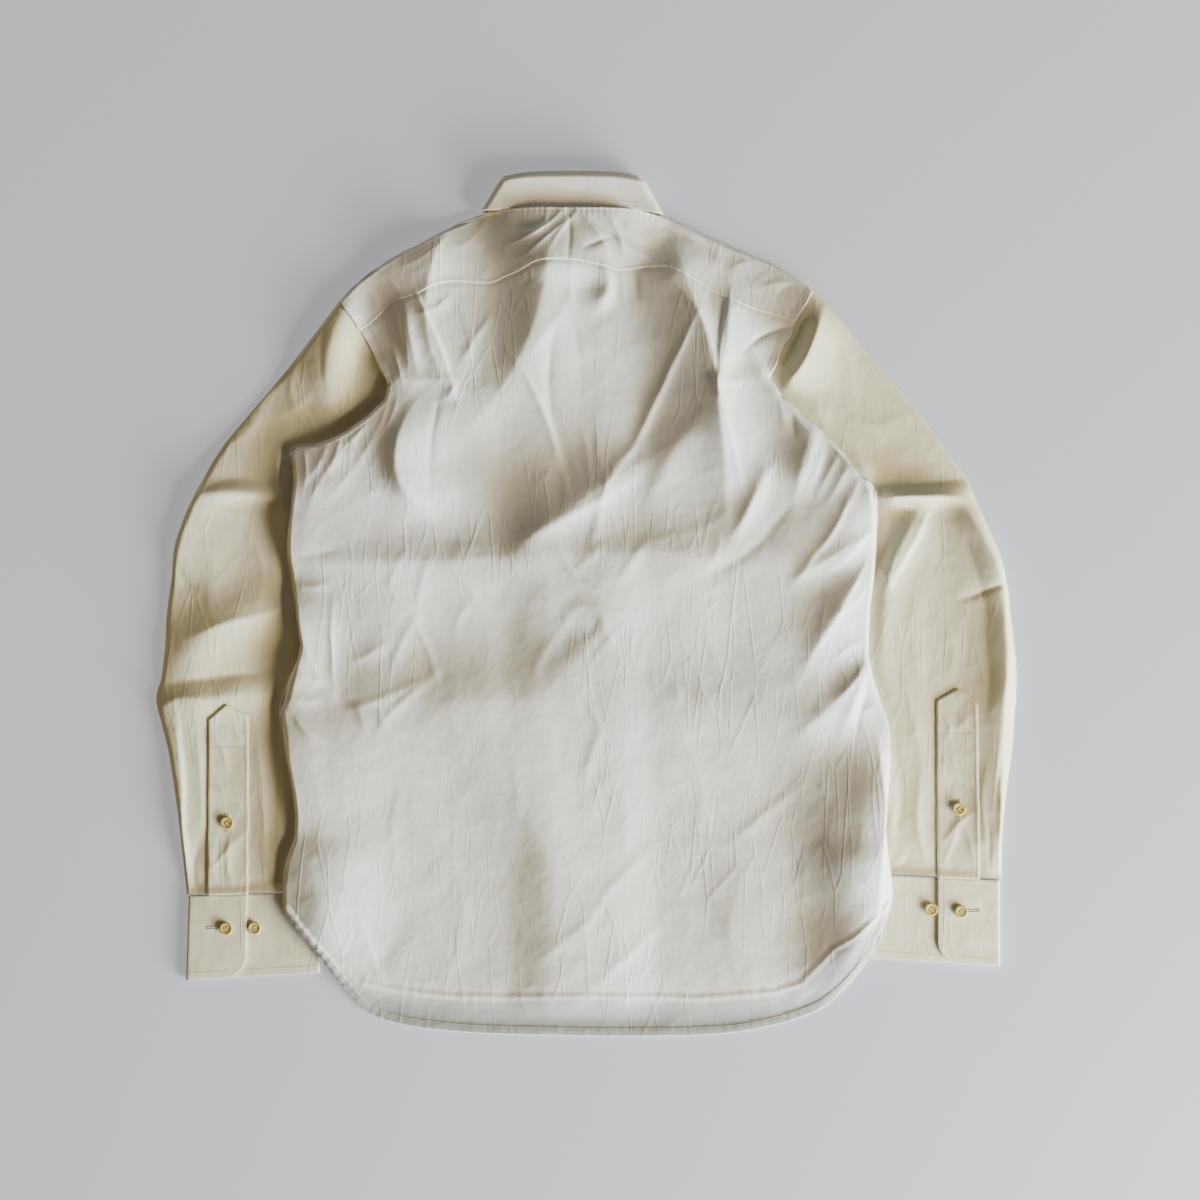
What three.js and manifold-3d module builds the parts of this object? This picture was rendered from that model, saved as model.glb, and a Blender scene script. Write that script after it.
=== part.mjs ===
// A man's button-up shirt, laid face down with its sleeves folded back under its sides.
// Millimetres. +X is the wearer's right, +Y points to the collar and +Z up from the surface.
// The origin is the middle of the shirt's outline, on the surface that it lies on.
import * as THREE from "three";
import { mergeVertices } from "three/addons/utils/BufferGeometryUtils.js";
import Module from "manifold-3d";

const wasm = await Module();
wasm.setup();

// ---------------------------------------------------------------- driving sizes
const CLOTH = 1.2; // one ply of shirting, with its seam turnings
const COLLAR_PLY = 1.5; // interlined collar leaf and stand
const CUFF_PLY = 1.6; // interlined cuff
const SEAM_GAP = 0.3; // clearance between pieces that are sewn or lie together
const AIR = 1.4; // slack between the fronts and the back
const EDGE_AIR = 0.2; // and what is left of it at their folded sides
const EDGE_ROLL = 12; // how far in from a folded edge the cloth reaches its full height
const FLAT_SLEEVE = 2 * CLOTH + SEAM_GAP; // a sleeve pressed flat
const SLEEVE_LIFT = FLAT_SLEEVE + 0.5; // how far a tucked sleeve lifts the body
const CUFF_LIFT = 1.1; // what a tucked cuff adds to that
const LIFT_RUN = 60; // width over which the body comes down from a sleeve
const CLEAR_OF_SLEEVE = 3; // full lift starts this far before the sleeve's inner edge

const BUTTON_RADIUS = 5.75;
const BUTTON_THICKNESS = 2.4;
const BUTTON_SEAT = SEAM_GAP;

const PLACKET_WIDTH = 35;
const PLACKET_LIFT = BUTTON_THICKNESS + 0.2; // the front buttons hold the placket off the surface
const FRONT_BUTTON_PITCH = 77.4;
const FIRST_BUTTON_DROP = 60; // from the front neck to the first button
const FRONT_BUTTONS = 7;
const NECK_CENTRE_X = -14;
const HEM_CENTRE_X = 0;
const FRONT_NECK_Y = 276;
const FRONT_HEM_Y = -352;
const PLACKET_CORNER_Y = 285.5; // where the neck seam reaches the placket's outer edge

const SHOULDER_TURNING = 28; // the yoke reaches this far over the shoulder to the front
const ARMHOLE_CLEAR = 0.035; // share of the shoulder by which its front turning stays off the sleeve
const SIDE_INSET = 1.2; // the fronts stay this far inside the folded sides
const HEM_WIDTH = 6;
const HEM_RISE = 0.6;

// ---------------------------------------------------------------- tables
// Each table is one string of column names and one array for each row.
const table = (columns, rows) =>
  rows.map((row) => Object.fromEntries(columns.split(" ").map((name, i) => [name, row[i]])));

// The body's two sides, from the yoke seam to the hem's corners.
const SIDES = table("leftX leftY rightX rightY", [
  [-202, 245, 188, 254],
  [-190, 222, 173, 222],
  [-179, 198, 162, 200],
  [-202, 172, 185, 177],
  [-224, 152, 211, 152],
  [-262, 139, 238, 121],
  [-263, 121, 257, 103],
  [-266, 85, 260, 80],
  [-266, 49, 259, 45],
  [-258, -5, 251, -14],
  [-254, -37, 251, -44],
  [-273, -91, 266, -90],
  [-270, -131, 272, -131],
  [-262, -176, 270, -165],
  [-263, -212, 266, -208],
  [-271, -239, 275, -246],
  [-271, -268, 273, -266],
]);
const SIDE_STEPS = [3, 3, 3, 3, 3, 2, 2, 2, 3, 2, 3, 2, 2, 2, 2, 2]; // rows of cloth between two sections

const YOKE_SEAM = table("x y", [
  [-202, 245],
  [-186, 257],
  [-171, 270],
  [-148, 277],
  [-131, 286],
  [-85, 288],
  [-40, 305],
  [-14, 306],
  [12, 301],
  [35, 298],
  [67, 301],
  [85, 296],
  [113, 281],
  [149, 266],
  [188, 254],
]);

const BACK_HEM = table("x y", [
  [-271, -268],
  [-262, -292],
  [-229, -331],
  [-194, -365],
  [-158, -376],
  [-94, -385],
  [-14, -387],
  [71, -387],
  [116, -383],
  [172, -374],
  [217, -356],
  [238, -338],
  [256, -311],
  [267, -288],
  [273, -266],
]);

const FRONT_HEM = table("x y", [
  [-270, -269],
  [-246, -299],
  [-205, -340],
  [-165, -349],
  [-82, -353],
  [0, FRONT_HEM_Y],
  [104, -355],
  [150, -352],
  [193, -339],
  [210, -316],
  [240, -296],
  [272, -267],
]);

const SHOULDERS = {
  left: { tip: [-220, 271], neck: [-90, 349.5], turn: [0.518, -0.855] },
  right: { tip: [203, 281], neck: [66, 347], turn: [-0.434, -0.901] },
};

// The armhole seam of each sleeve, from the shoulder's tip to the underarm, hidden in the body.
const ARMHOLE = {
  left: table("x y", [
    [-220, 271],
    [-202, 245],
    [-190, 222],
    [-179, 198],
    [-172, 160],
    [-178, 120],
  ]),
  right: table("x y", [
    [203, 281],
    [188, 254],
    [173, 222],
    [162, 200],
    [157, 165],
    [163, 135],
  ]),
};

// A sleeve's outer and inner edges, from the armhole to the cuff.
const SLEEVE_SECTIONS = {
  left: table("outX outY inX inY", [
    [-220, 271, -178, 120],
    [-257, 224, -176, 108],
    [-302, 168, -176, 92],
    [-336, 125, -178, 72],
    [-359, 82, -181, 46],
    [-370, 28, -186, 14],
    [-376, -30, -194, -28],
    [-385, -86, -203, -74],
    [-377, -125, -212, -116],
    [-370, -163, -220, -158],
    [-364, -204, -229, -204],
    [-358, -260.5, -240, -258],
  ]),
  right: table("outX outY inX inY", [
    [203, 281, 163, 135],
    [238, 240, 162, 118],
    [283, 191, 163, 98],
    [334, 125, 167, 74],
    [361, 67, 172, 44],
    [376, 20, 178, 10],
    [383, -37, 188, -32],
    [385, -76, 197, -74],
    [383, -115, 207, -114],
    [381, -150, 216, -150],
    [376, -195, 229, -194],
    [372.5, -247, 253, -242],
  ]),
};

// How far out from the centre a tucked sleeve starts, at each height of the body.
const TUCK = table("y left right", [
  [225, 235, 222],
  [200, 172, 157],
  [120, 172, 157],
  [60, 178, 166],
  [0, 187, 178],
  [-60, 199, 192],
  [-120, 212, 208],
  [-190, 226, 227],
  [-260, 237, 250],
  [-340, 237, 250],
]);

// Soft ridges and troughs of the cloth. Each runs through three points. Left and right are
// its half-widths on the two sides of that line, seen along it.
const FOLDS = table("name x1 y1 x2 y2 x3 y3 height left right", [
  ["left shoulder edge", -203, 268, -162, 300, -102, 331, 3, 12, 30],
  ["left armhole hollow", -184, 292, -194, 244, -176, 202, -9, 26, 14],
  ["left pleat", -126, 318, -143, 264, -118, 192, 17.5, 36, 44],
  ["left blade", -40, 348, -41, 262, -82, 188, 15, 42, 36],
  ["left armhole tuck", -161, 268, -156, 240, -151, 212, 4, 6, 7],
  ["left underarm turn", -172, 190, -208, 158, -254, 130, 7.5, 44, 8],
  ["left rib", -158, 168, -170, 128, -146, 82, 7.5, 46, 13],
  ["left side upper", -257, 122, -260, 85, -256, 44, 9, 70, 7],
  ["left side waist", -255, 6, -249, -34, -257, -84, 7.5, 26, 7],
  ["upper band", -252, 38, -160, 38, -62, 42, 9, 17, 62],
  ["middle swag", -62, 46, -22, 84, 42, 113, 7, 18, 26],
  ["middle tuck", -28, 42, 52, 46, 132, 38, 6, 16, 44],
  ["right blade", 82, 306, 106, 235, 126, 104, 19, 26, 58],
  ["centre gather left", 18, 302, 22, 284, 14, 264, 5, 6, 12],
  ["centre gather right", 58, 334, 76, 312, 84, 286, 6, 14, 30],
  ["right pleat", 130, 280, 126, 244, 121, 208, 5, 16, 6],
  ["right armhole turn", 142, 224, 168, 188, 226, 126, 6, 8, 18],
  ["right armhole rib", 206, 172, 200, 140, 188, 104, 7.5, 10, 44],
  ["right side upper", 224, 142, 250, 104, 255, 60, 15, 8, 56],
  ["right rib", 158, 120, 150, 92, 132, 60, 5, 9, 14],
  ["right middle rib", 94, 157, 68, 121, 56, 83, 4, 20, 16],
  ["right hip", 70, 40, 130, 44, 192, 26, 10, 54, 110],
  ["right waist upper", 255, 62, 226, 46, 190, 24, 5, 12, 12],
  ["right waist lower", 253, 34, 225, -2, 197, -54, 11, 26, 22],
  ["right side tuck", 250, -58, 222, -88, 194, -114, 7.5, 20, 16],
  ["right side fin", 254, -50, 240, -84, 230, -112, 4, 8, 8],
  ["right side lower", 263, -140, 264, -200, 260, -262, 22.5, 8, 50],
  ["right tail turn", 262, -262, 240, -304, 202, -344, 11, 16, 40],
  ["left side lower", -268, -96, -262, -150, -262, -206, 4, 50, 8],
  ["left tail", -258, -212, -236, -250, -224, -304, 10, 60, 28],
  ["lower band left", -222, -88, -122, -90, -22, -84, 14, 33, 80],
  ["lower band right", 14, -100, 103, -102, 200, -106, 10, 38, 70],
  ["middle knot", -26, -70, -10, -50, 8, -36, 5, 12, 28],
  ["tail diagonal", -106, -118, -62, -172, -22, -240, 11, 34, 32],
  ["tail centre", -20, -226, -15, -290, -18, -364, 9, 40, 40],
  ["tail right", 138, -196, 142, -270, 140, -350, 6, 36, 32],
  ["left sleeve head", -220, 266, -240, 222, -238, 172, 11, 26, 20],
  ["left upper sleeve", -330, 140, -366, 70, -374, 0, 7.5, 46, 14],
  ["left elbow ridge", -345, 99, -311, 101, -280, 98, 6, 8, 9],
  ["left forearm swell", -372, -58, -324, -20, -278, -2, 9, 26, 26],
  ["left wrist ridge", -376, -90, -343, -84, -290, -80, 10, 15, 24],
  ["left forearm edge", -374, -100, -366, -170, -358, -240, 5, 30, 12],
  ["right sleeve head", 208, 268, 203, 230, 182, 196, 11, 20, 12],
  ["right elbow ridge", 268, 97, 301, 97, 334, 97, 9, 11, 9],
  ["right elbow roll", 334, 92, 360, 52, 373, 14, 11, 9, 24],
  ["right forearm roll", 374, 24, 376, -60, 370, -136, 15, 8, 24],
  ["right wrist roll", 370, -130, 369, -190, 366, -238, 6, 8, 20],
  ["right forearm lie", 266, 70, 268, -20, 276, -110, 4.5, 66, 10],
  ["right elbow tuck", 300, 84, 282, 52, 266, 22, 6, 16, 8],
]);

// A collar leaf's or stand's plan at the back, the side and the centre front.
const COLLAR = {
  centreX: -12,
  foldHalf: 62, // half the width at the fold line
  edgeHalf: 81, // half the width at the leaf's free edge
  seamHalf: 76, // half the width at the neck seam
  foldY: 387,
  foldSideY: 383,
  leafEdgeY: 357,
  leafEdgeSideY: 353.5,
  standSeamY: 353.2,
  standSeamSideY: 351.5,
  leafFront: { foldX: 6, foldY: 306, pointX: 47, pointY: 264 }, // from the collar's centre
  standFront: { seamX: 8, seamY: 276.6 },
  standLap: 24, // how far the stand's ends go on past the leaf's
  standRise: 1.2, // how far the collar button holds them off the surface
  radius: 6, // the leaf's ring, from its middle to the middle of its wall
  leafBulge: 3.5,
  rollRadius: (COLLAR_PLY + SEAM_GAP) / 2,
};
const STAND_RADIUS = COLLAR.radius - 2 * COLLAR.rollRadius;
const COLLAR_MIDDLE_Z = COLLAR.radius + COLLAR_PLY / 2;
const NECK_SIDE = COLLAR.seamHalf - 2 * COLLAR.rollRadius - STAND_RADIUS; // the stand's flat half-width
const NECK_BOW = 12; // how far the neck seam bows out on the front
const NECK_TURNING = 0.36; // share of that seam that the yoke's turning takes
const NECK_LIFT = COLLAR_MIDDLE_Z + STAND_RADIUS - (CLOTH + SEAM_GAP + AIR) - CLOTH / 2;
const LEAF_LIFT = COLLAR_PLY + 2 * SEAM_GAP; // what a collar point under the fronts adds

// Cuffs: corners of the flattened band, and where its outer end stops.
const CUFFS = {
  left: {
    topOut: [-357, -261.5], topIn: [-239.5, -258.5], bottomOut: [-359, -337.5], bottomIn: [-238.5, -331],
    endX: -303.5, underEndX: -338, cornerRadius: 19,
    buttons: [[-322, -290.7], [-297, -290.7]],
  },
  right: {
    topOut: [372, -247.6], topIn: [252.5, -242.7], bottomOut: [372.6, -325], bottomIn: [252, -317.5],
    endX: 316.5, underEndX: 350, cornerRadius: 19,
    buttons: [[336.6, -275.5], [310.2, -273.8]],
  },
};

// The pointed sleeve plackets, as left and right edges from the point to the cuff.
const GAUNTLETS = {
  left: {
    tip: [-321.6, -90],
    shoulders: [[-337.5, -103.5], [-304.2, -100]],
    base: [[-339, -260.4], [-303, -259.4]],
    button: [-321.3, -196.2],
  },
  right: {
    tip: [334, -76.5],
    shoulders: [[316, -87], [350, -90]],
    base: [[316.5, -244.6], [353.5, -246.2]],
    button: [334.8, -183.6],
  },
};

const COLOURS = { cotton: 0xe9e4d8, button: 0xe0cf94 };
const matt = (color, roughness) => new THREE.MeshStandardMaterial({ color, roughness, metalness: 0 });
const cotton = () => matt(COLOURS.cotton, 0.85);
const shell = () => matt(COLOURS.button, 0.35);

// ---------------------------------------------------------------- small maths
const clamp = (t) => Math.min(1, Math.max(0, t));
const smooth = (t) => clamp(t) ** 2 * (3 - 2 * clamp(t));
const lerp = (a, b, t) => a + (b - a) * t;
const lerpPoint = (a, b, t) => a.map((value, i) => lerp(value, b[i], t));
const pointsOf = (rows) => rows.map(({ x, y }) => [x, y]);

// A line through its rows, each row the same share of the way.
function byRow(points) {
  return (t) => {
    const at = clamp(t) * (points.length - 1);
    const row = Math.min(points.length - 2, Math.floor(at + 1e-9));
    return lerpPoint(points[row], points[row + 1], at - row);
  };
}

// A line through its points, at shares of its length.
function byLength(points) {
  const reach = [0];
  for (let i = 1; i < points.length; i++)
    reach.push(reach[i - 1] + Math.hypot(points[i][0] - points[i - 1][0], points[i][1] - points[i - 1][1]));
  return (t) => {
    const at = clamp(t) * reach[reach.length - 1];
    let i = 1;
    while (i < points.length - 1 && reach[i] < at) i++;
    return lerpPoint(points[i - 1], points[i], (at - reach[i - 1]) / (reach[i] - reach[i - 1]));
  };
}

// A smooth curve through its rows.
function curve(points) {
  const spline = new THREE.SplineCurve(points.map(([x, y]) => new THREE.Vector2(x, y)));
  return (t) => spline.getPoint(clamp(t)).toArray();
}

// The value of a column at a height, from a table that goes down in y.
function atHeight(rows, key, column, y) {
  if (y >= rows[0][key]) return rows[0][column];
  for (let i = 1; i < rows.length; i++)
    if (y >= rows[i][key]) {
      const share = (rows[i - 1][key] - y) / (rows[i - 1][key] - rows[i][key]);
      return lerp(rows[i - 1][column], rows[i][column], share);
    }
  return rows[rows.length - 1][column];
}

function distanceToSegment([px, py], [ax, ay], [bx, by]) {
  const along = clamp(((px - ax) * (bx - ax) + (py - ay) * (by - ay)) / ((bx - ax) ** 2 + (by - ay) ** 2));
  return Math.hypot(px - lerp(ax, bx, along), py - lerp(ay, by, along));
}

function distanceToLine(point, line) {
  let nearest = Infinity;
  for (let i = 1; i < line.length; i++)
    nearest = Math.min(nearest, distanceToSegment(point, line[i - 1], line[i]));
  return nearest;
}

// A four-sided sheet between its edges: u runs from left to right and v from top to bottom.
function patch(top, bottom, left, right) {
  const [a, b, c, d] = [top(0), top(1), bottom(0), bottom(1)];
  return (u, v) => {
    const [t, h, l, r] = [top(u), bottom(u), left(v), right(v)];
    return [0, 1].map(
      (k) =>
        lerp(t[k], h[k], v) + lerp(l[k], r[k], u) - lerp(lerp(a[k], b[k], u), lerp(c[k], d[k], u), v),
    );
  };
}

// ---------------------------------------------------------------- how high the cloth lies
const centreX = (y) => lerp(NECK_CENTRE_X, HEM_CENTRE_X, clamp((300 - y) / 688));

// What the tucked sleeves and cuffs lift the body by.
function sleeveLift(x, y) {
  const inner = atHeight(TUCK, "y", x < 0 ? "left" : "right", y) - CLEAR_OF_SLEEVE;
  const height = SLEEVE_LIFT + CUFF_LIFT * smooth((-205 - y) / 25);
  return height * smooth((Math.abs(x) - inner + LIFT_RUN) / LIFT_RUN) * smooth((y + 375) / 35);
}

const placketLift = (x, y) => PLACKET_LIFT * smooth((72 - Math.abs(x - centreX(y))) / 50);
const overlapLift = (x, y) => (CLOTH + SEAM_GAP + 0.1) * smooth((72 - Math.abs(x - centreX(y))) / 50);
const collarLift = (x, y) =>
  LEAF_LIFT * smooth((128 - Math.abs(x - COLLAR.centreX)) / 36) * smooth((y - 190) / 68);
const neckLift = (x, y) =>
  NECK_LIFT * smooth(1.15 - ((x - COLLAR.centreX) / 86) ** 2 - ((y - COLLAR.standSeamY) / 70) ** 2);

const frontBase = (x, y) => sleeveLift(x, y) + placketLift(x, y) + collarLift(x, y);

const leftSide = SIDES.map(({ leftX, leftY }) => [leftX, leftY]);
const rightSide = SIDES.map(({ rightX, rightY }) => [rightX, rightY]);
const ARMHOLE_ROWS = 2; // the sides' first rows are sewn to the sleeves
const foldedEdges = [
  [SHOULDERS.left.tip, SHOULDERS.left.neck],
  leftSide.slice(ARMHOLE_ROWS),
  pointsOf(BACK_HEM),
  rightSide.slice(ARMHOLE_ROWS),
  [SHOULDERS.right.neck, SHOULDERS.right.tip],
];
const coverEdges = [leftSide.slice(ARMHOLE_ROWS), rightSide.slice(ARMHOLE_ROWS)];
const toEdge = (x, y, edges) => Math.min(...edges.map((line) => distanceToLine([x, y], line)));

// A folded edge rises steeply at first and then levels out.
const rolled = (distance, radius) => 1 - (1 - clamp(distance / radius)) ** 2;

const SOFTEST_TURN = 12; // the least half-width that a fold's flank has in the solids
const FOLD_SHARPNESS = 1.6; // 2 rounds a fold's top off fully, 1 brings it to a sharp line

// The height of one fold: full along its bowed line, falling off to each side and at its ends.
function foldHeight({ x1, y1, x2, y2, x3, y3, height, left, right }, x, y) {
  const run = Math.hypot(x3 - x1, y3 - y1);
  const [ux, uy] = [(x3 - x1) / run, (y3 - y1) / run];
  const middle = clamp(((x2 - x1) * ux + (y2 - y1) * uy) / run);
  const bow = ((y2 - y1) * ux - (x2 - x1) * uy) / Math.max(middle * (1 - middle), 0.1);
  const along = ((x - x1) * ux + (y - y1) * uy) / run;
  const lean = (bow * (1 - 2 * along)) / run;
  const offset = (y - y1) * ux - (x - x1) * uy - bow * along * (1 - along);
  const side = offset / Math.sqrt(1 + lean ** 2);
  const width = Math.max(side > 0 ? left : right, SOFTEST_TURN);
  const ends = Math.exp(-0.9 * (2 * along - 1) ** 4);
  return height * ends * Math.exp(-((Math.abs(side) / width) ** FOLD_SHARPNESS));
}

const relief = (x, y) => Math.max(0, FOLDS.reduce((sum, fold) => sum + foldHeight(fold, x, y), 0));

// The height of a table's line at an x, from a table that goes up in x.
function alongX(rows, x) {
  for (let i = 1; i < rows.length; i++)
    if (x <= rows[i].x) {
      return lerp(rows[i - 1].y, rows[i].y, clamp((x - rows[i - 1].x) / (rows[i].x - rows[i - 1].x)));
    }
  return rows[rows.length - 1].y;
}

// The underside of the yoke and back, which lie on the fronts and end on the surface past their hem.
function backBase(x, y) {
  const edge = toEdge(x, y, foldedEdges);
  const overCentre = placketLift(x, y) + overlapLift(x, y) + collarLift(x, y) + neckLift(x, y);
  const slack = lerp(EDGE_AIR, AIR, smooth(edge / 25));
  const onFronts = (overCentre + CLOTH + SEAM_GAP + slack) * smooth((y - alongX(FRONT_HEM, x) + 24) / 20);
  return sleeveLift(x, y) + onFronts + relief(x, y) * rolled(edge, EDGE_ROLL);
}

// ---------------------------------------------------------------- solids
function geometryOf(points, faces) {
  const geometry = new THREE.BufferGeometry();
  geometry.setAttribute("position", new THREE.Float32BufferAttribute(points.flat(), 3));
  geometry.setIndex(faces.flat());
  let volume = 0;
  for (const [a, b, c] of faces) {
    const cross = new THREE.Vector3(...points[b]).cross(new THREE.Vector3(...points[c]));
    volume += new THREE.Vector3(...points[a]).dot(cross);
  }
  if (volume < 0) geometry.setIndex(faces.flatMap(([a, b, c]) => [a, c, b]));
  geometry.computeVertexNormals();
  return geometry;
}

// A closed wall between two grids of points that have the same rows and columns.
function wall(over, under) {
  const [rows, columns] = [over.length, over[0].length];
  const points = [...over.flat(), ...under.flat()];
  const top = (j, i) => j * columns + i;
  const bottom = (j, i) => rows * columns + j * columns + i;
  const faces = [];
  const quad = (a, b, c, d) => faces.push([a, b, c], [a, c, d]);
  for (let j = 0; j + 1 < rows; j++)
    for (let i = 0; i + 1 < columns; i++) {
      quad(top(j, i), top(j + 1, i), top(j + 1, i + 1), top(j, i + 1));
      quad(bottom(j, i), bottom(j, i + 1), bottom(j + 1, i + 1), bottom(j + 1, i));
    }
  for (let j = 0; j + 1 < rows; j++) {
    quad(top(j, 0), bottom(j, 0), bottom(j + 1, 0), top(j + 1, 0));
    quad(top(j + 1, columns - 1), bottom(j + 1, columns - 1), bottom(j, columns - 1), top(j, columns - 1));
  }
  for (let i = 0; i + 1 < columns; i++) {
    quad(top(0, i + 1), bottom(0, i + 1), bottom(0, i), top(0, i));
    quad(top(rows - 1, i), bottom(rows - 1, i), bottom(rows - 1, i + 1), top(rows - 1, i + 1));
  }
  return geometryOf(points, faces);
}

// A panel of cloth over a patch: its underside is given, and it is one ply thick.
function panel(place, us, vs, underside, thickness = () => CLOTH) {
  const under = vs.map((v) => us.map((u) => [...place(u, v), underside(...place(u, v), u, v)]));
  const over = under.map((row, j) => row.map(([x, y, z], i) => [x, y, z + thickness(us[i], vs[j], x, y)]));
  return wall(over, under);
}

// A flattened tube: a ring of outer points and a ring of inner ones at each station.
function tube(outer, inner) {
  const [stations, around] = [outer.length, outer[0].length];
  const points = [...outer.flat(), ...inner.flat()];
  const out = (j, i) => j * around + (i % around);
  const inn = (j, i) => stations * around + j * around + (i % around);
  const faces = [];
  const quad = (a, b, c, d) => faces.push([a, b, c], [a, c, d]);
  for (let i = 0; i < around; i++) {
    for (let j = 0; j + 1 < stations; j++) {
      quad(out(j, i), out(j, i + 1), out(j + 1, i + 1), out(j + 1, i));
      quad(inn(j, i), inn(j + 1, i), inn(j + 1, i + 1), inn(j, i + 1));
    }
    quad(out(0, i + 1), out(0, i), inn(0, i), inn(0, i + 1));
    quad(out(stations - 1, i), out(stations - 1, i + 1), inn(stations - 1, i + 1), inn(stations - 1, i));
  }
  return geometryOf(points, faces);
}

function joined(...geometries) {
  const solids = geometries.map((geometry) => {
    const bare = new THREE.BufferGeometry();
    bare.setAttribute("position", geometry.getAttribute("position"));
    bare.setIndex(geometry.index);
    const merged = mergeVertices(bare, 1e-4);
    const mesh = new wasm.Mesh({
      numProp: 3,
      vertProperties: new Float32Array(merged.attributes.position.array),
      triVerts: new Uint32Array(merged.index.array),
    });
    return new wasm.Manifold(mesh);
  });
  const mesh = solids.reduce((sum, solid) => sum.add(solid)).getMesh();
  const geometry = new THREE.BufferGeometry();
  geometry.setAttribute("position", new THREE.BufferAttribute(mesh.vertProperties, 3));
  geometry.setIndex(new THREE.BufferAttribute(mesh.triVerts, 1));
  geometry.computeVertexNormals();
  return geometry;
}

// Even shares from 0 to 1, and shares with a given number of steps between each two rows.
const shares = (count) => Array.from({ length: count + 1 }, (_, i) => i / count);
const stepsBetween = (steps) => {
  const all = [0];
  steps.forEach((count, row) => {
    for (let i = 1; i <= count; i++) all.push((row + i / count) / steps.length);
  });
  return all;
};

// ---------------------------------------------------------------- body
const shirt = new THREE.Group();
function add(name, geometry, material) {
  const mesh = new THREE.Mesh(geometry, material);
  mesh.name = name;
  shirt.add(mesh);
  return mesh;
}

const seam = byLength(pointsOf(YOKE_SEAM));
const backHem = byLength(pointsOf(BACK_HEM));
const SEAM_COLUMNS_PER_SIDE = 12;
const CENTRE_SEAM_SHARE = 0.483; // where the yoke's centre seam meets the yoke seam
const EDGE_SHARE = 0.012;
const halfShares = shares(SEAM_COLUMNS_PER_SIDE - 1);
const leftColumns = [0, EDGE_SHARE, ...halfShares.slice(1)].map((t) => t * CENTRE_SEAM_SHARE);
const rightShares = [...halfShares.slice(0, -1), 1 - EDGE_SHARE, 1];
const rightColumns = rightShares.map((t) => lerp(CENTRE_SEAM_SHARE, 1, t));

function makeBack() {
  const lower = ([x, y]) => [x, y - SEAM_GAP / 2];
  const place = patch((u) => lower(seam(u)), backHem, byRow(leftSide), byRow(rightSide));
  const hemShare = HEM_WIDTH / 660;
  const vs = [...stepsBetween(SIDE_STEPS).slice(0, -1), 1 - hemShare - 0.002, 1 - hemShare, 1];
  const us = [...leftColumns, ...rightColumns.slice(1)];
  const thickness = (u, v) => CLOTH + (v >= 1 - hemShare - 1e-6 ? HEM_RISE : 0);
  add("back_panel", panel(place, us, vs, backBase, thickness), cotton());
}

// The line where a front and the front of the collar stand meet, from the side of the neck to its end.
function frontNeck(side, share, away = 0) {
  const sign = side === "left" ? -1 : 1;
  const across = lerp(NECK_SIDE, COLLAR.standFront.seamX, share) + NECK_BOW * Math.sin(Math.PI * share);
  const y = lerp(COLLAR.standSeamSideY, COLLAR.standFront.seamY, share);
  return [COLLAR.centreX + sign * (across + 0.7 * away), y - 0.7 * away];
}

// The armhole end of the yoke's turning, at a depth from the shoulder's fold.
function turnedTip(side, depth) {
  const { tip, neck, turn } = SHOULDERS[side];
  const [x, y] = lerpPoint(tip, neck, (ARMHOLE_CLEAR * depth) / SHOULDER_TURNING);
  return [x + turn[0] * depth, y + turn[1] * depth];
}

// Half of the split yoke: a ply over the shoulder blade, turned over the shoulder to the front.
function makeYoke(side) {
  const { tip, neck } = SHOULDERS[side];
  const sign = side === "left" ? -1 : 1;
  const columns = side === "left" ? leftColumns : rightColumns;
  const centreTop = [NECK_CENTRE_X, COLLAR.standSeamY - 2 * SEAM_GAP];
  const bend = [lerp(neck[0], centreTop[0], 0.4), centreTop[1] - 0.4];
  const rim = side === "left" ? [tip, neck, bend, centreTop] : [centreTop, bend, neck, tip];
  const rimAt = byLength(rim);
  const [first, last] = [columns[0], columns[columns.length - 1]];
  const seamPoint = (t) => {
    const [x, y] = seam(lerp(first, last, t));
    return [x, y + SEAM_GAP / 2];
  };
  const straight = (a, b) => (t) => lerpPoint(a, b, t);
  const place = patch(rimAt, seamPoint, straight(rimAt(0), seamPoint(0)), straight(rimAt(1), seamPoint(1)));
  const us = columns.map((u) => (u - first) / (last - first));
  const clear = (x) => (Math.abs(x - NECK_CENTRE_X) < 0.2 ? x + (sign * SEAM_GAP) / 2 : x);
  const placeClear = (u, v) => {
    const [x, y] = place(u, v);
    return [(side === "left" ? u === 1 : u === 0) ? clear(x) + (sign * SEAM_GAP) / 2 : x, y];
  };
  const upper = panel(placeClear, us, [0, 0.04, 0.12, 0.28, 0.46, 0.64, 0.82, 1], backBase);
  const across = [0, CLOTH, CLOTH + 0.05, SHOULDER_TURNING / 2, SHOULDER_TURNING - SEAM_GAP / 2];
  const flap = across.map((depth) => {
    const start = turnedTip(side, depth);
    const end = depth < 1 ? neck : frontNeck(side, (NECK_TURNING * depth) / SHOULDER_TURNING, 1);
    return shares(8).map((t) => lerpPoint(start, end, t));
  });
  const low = (x, y) => collarLift(x, y);
  const under = flap.map((row) => row.map(([x, y]) => [x, y, low(x, y)]));
  const over = flap.map((row, j) =>
    row.map(([x, y]) => [x, y, j < 2 ? backBase(x, y) + CLOTH / 2 : low(x, y) + CLOTH]),
  );
  add("yoke_" + side, joined(upper, wall(over, under)), cotton());
}

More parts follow.
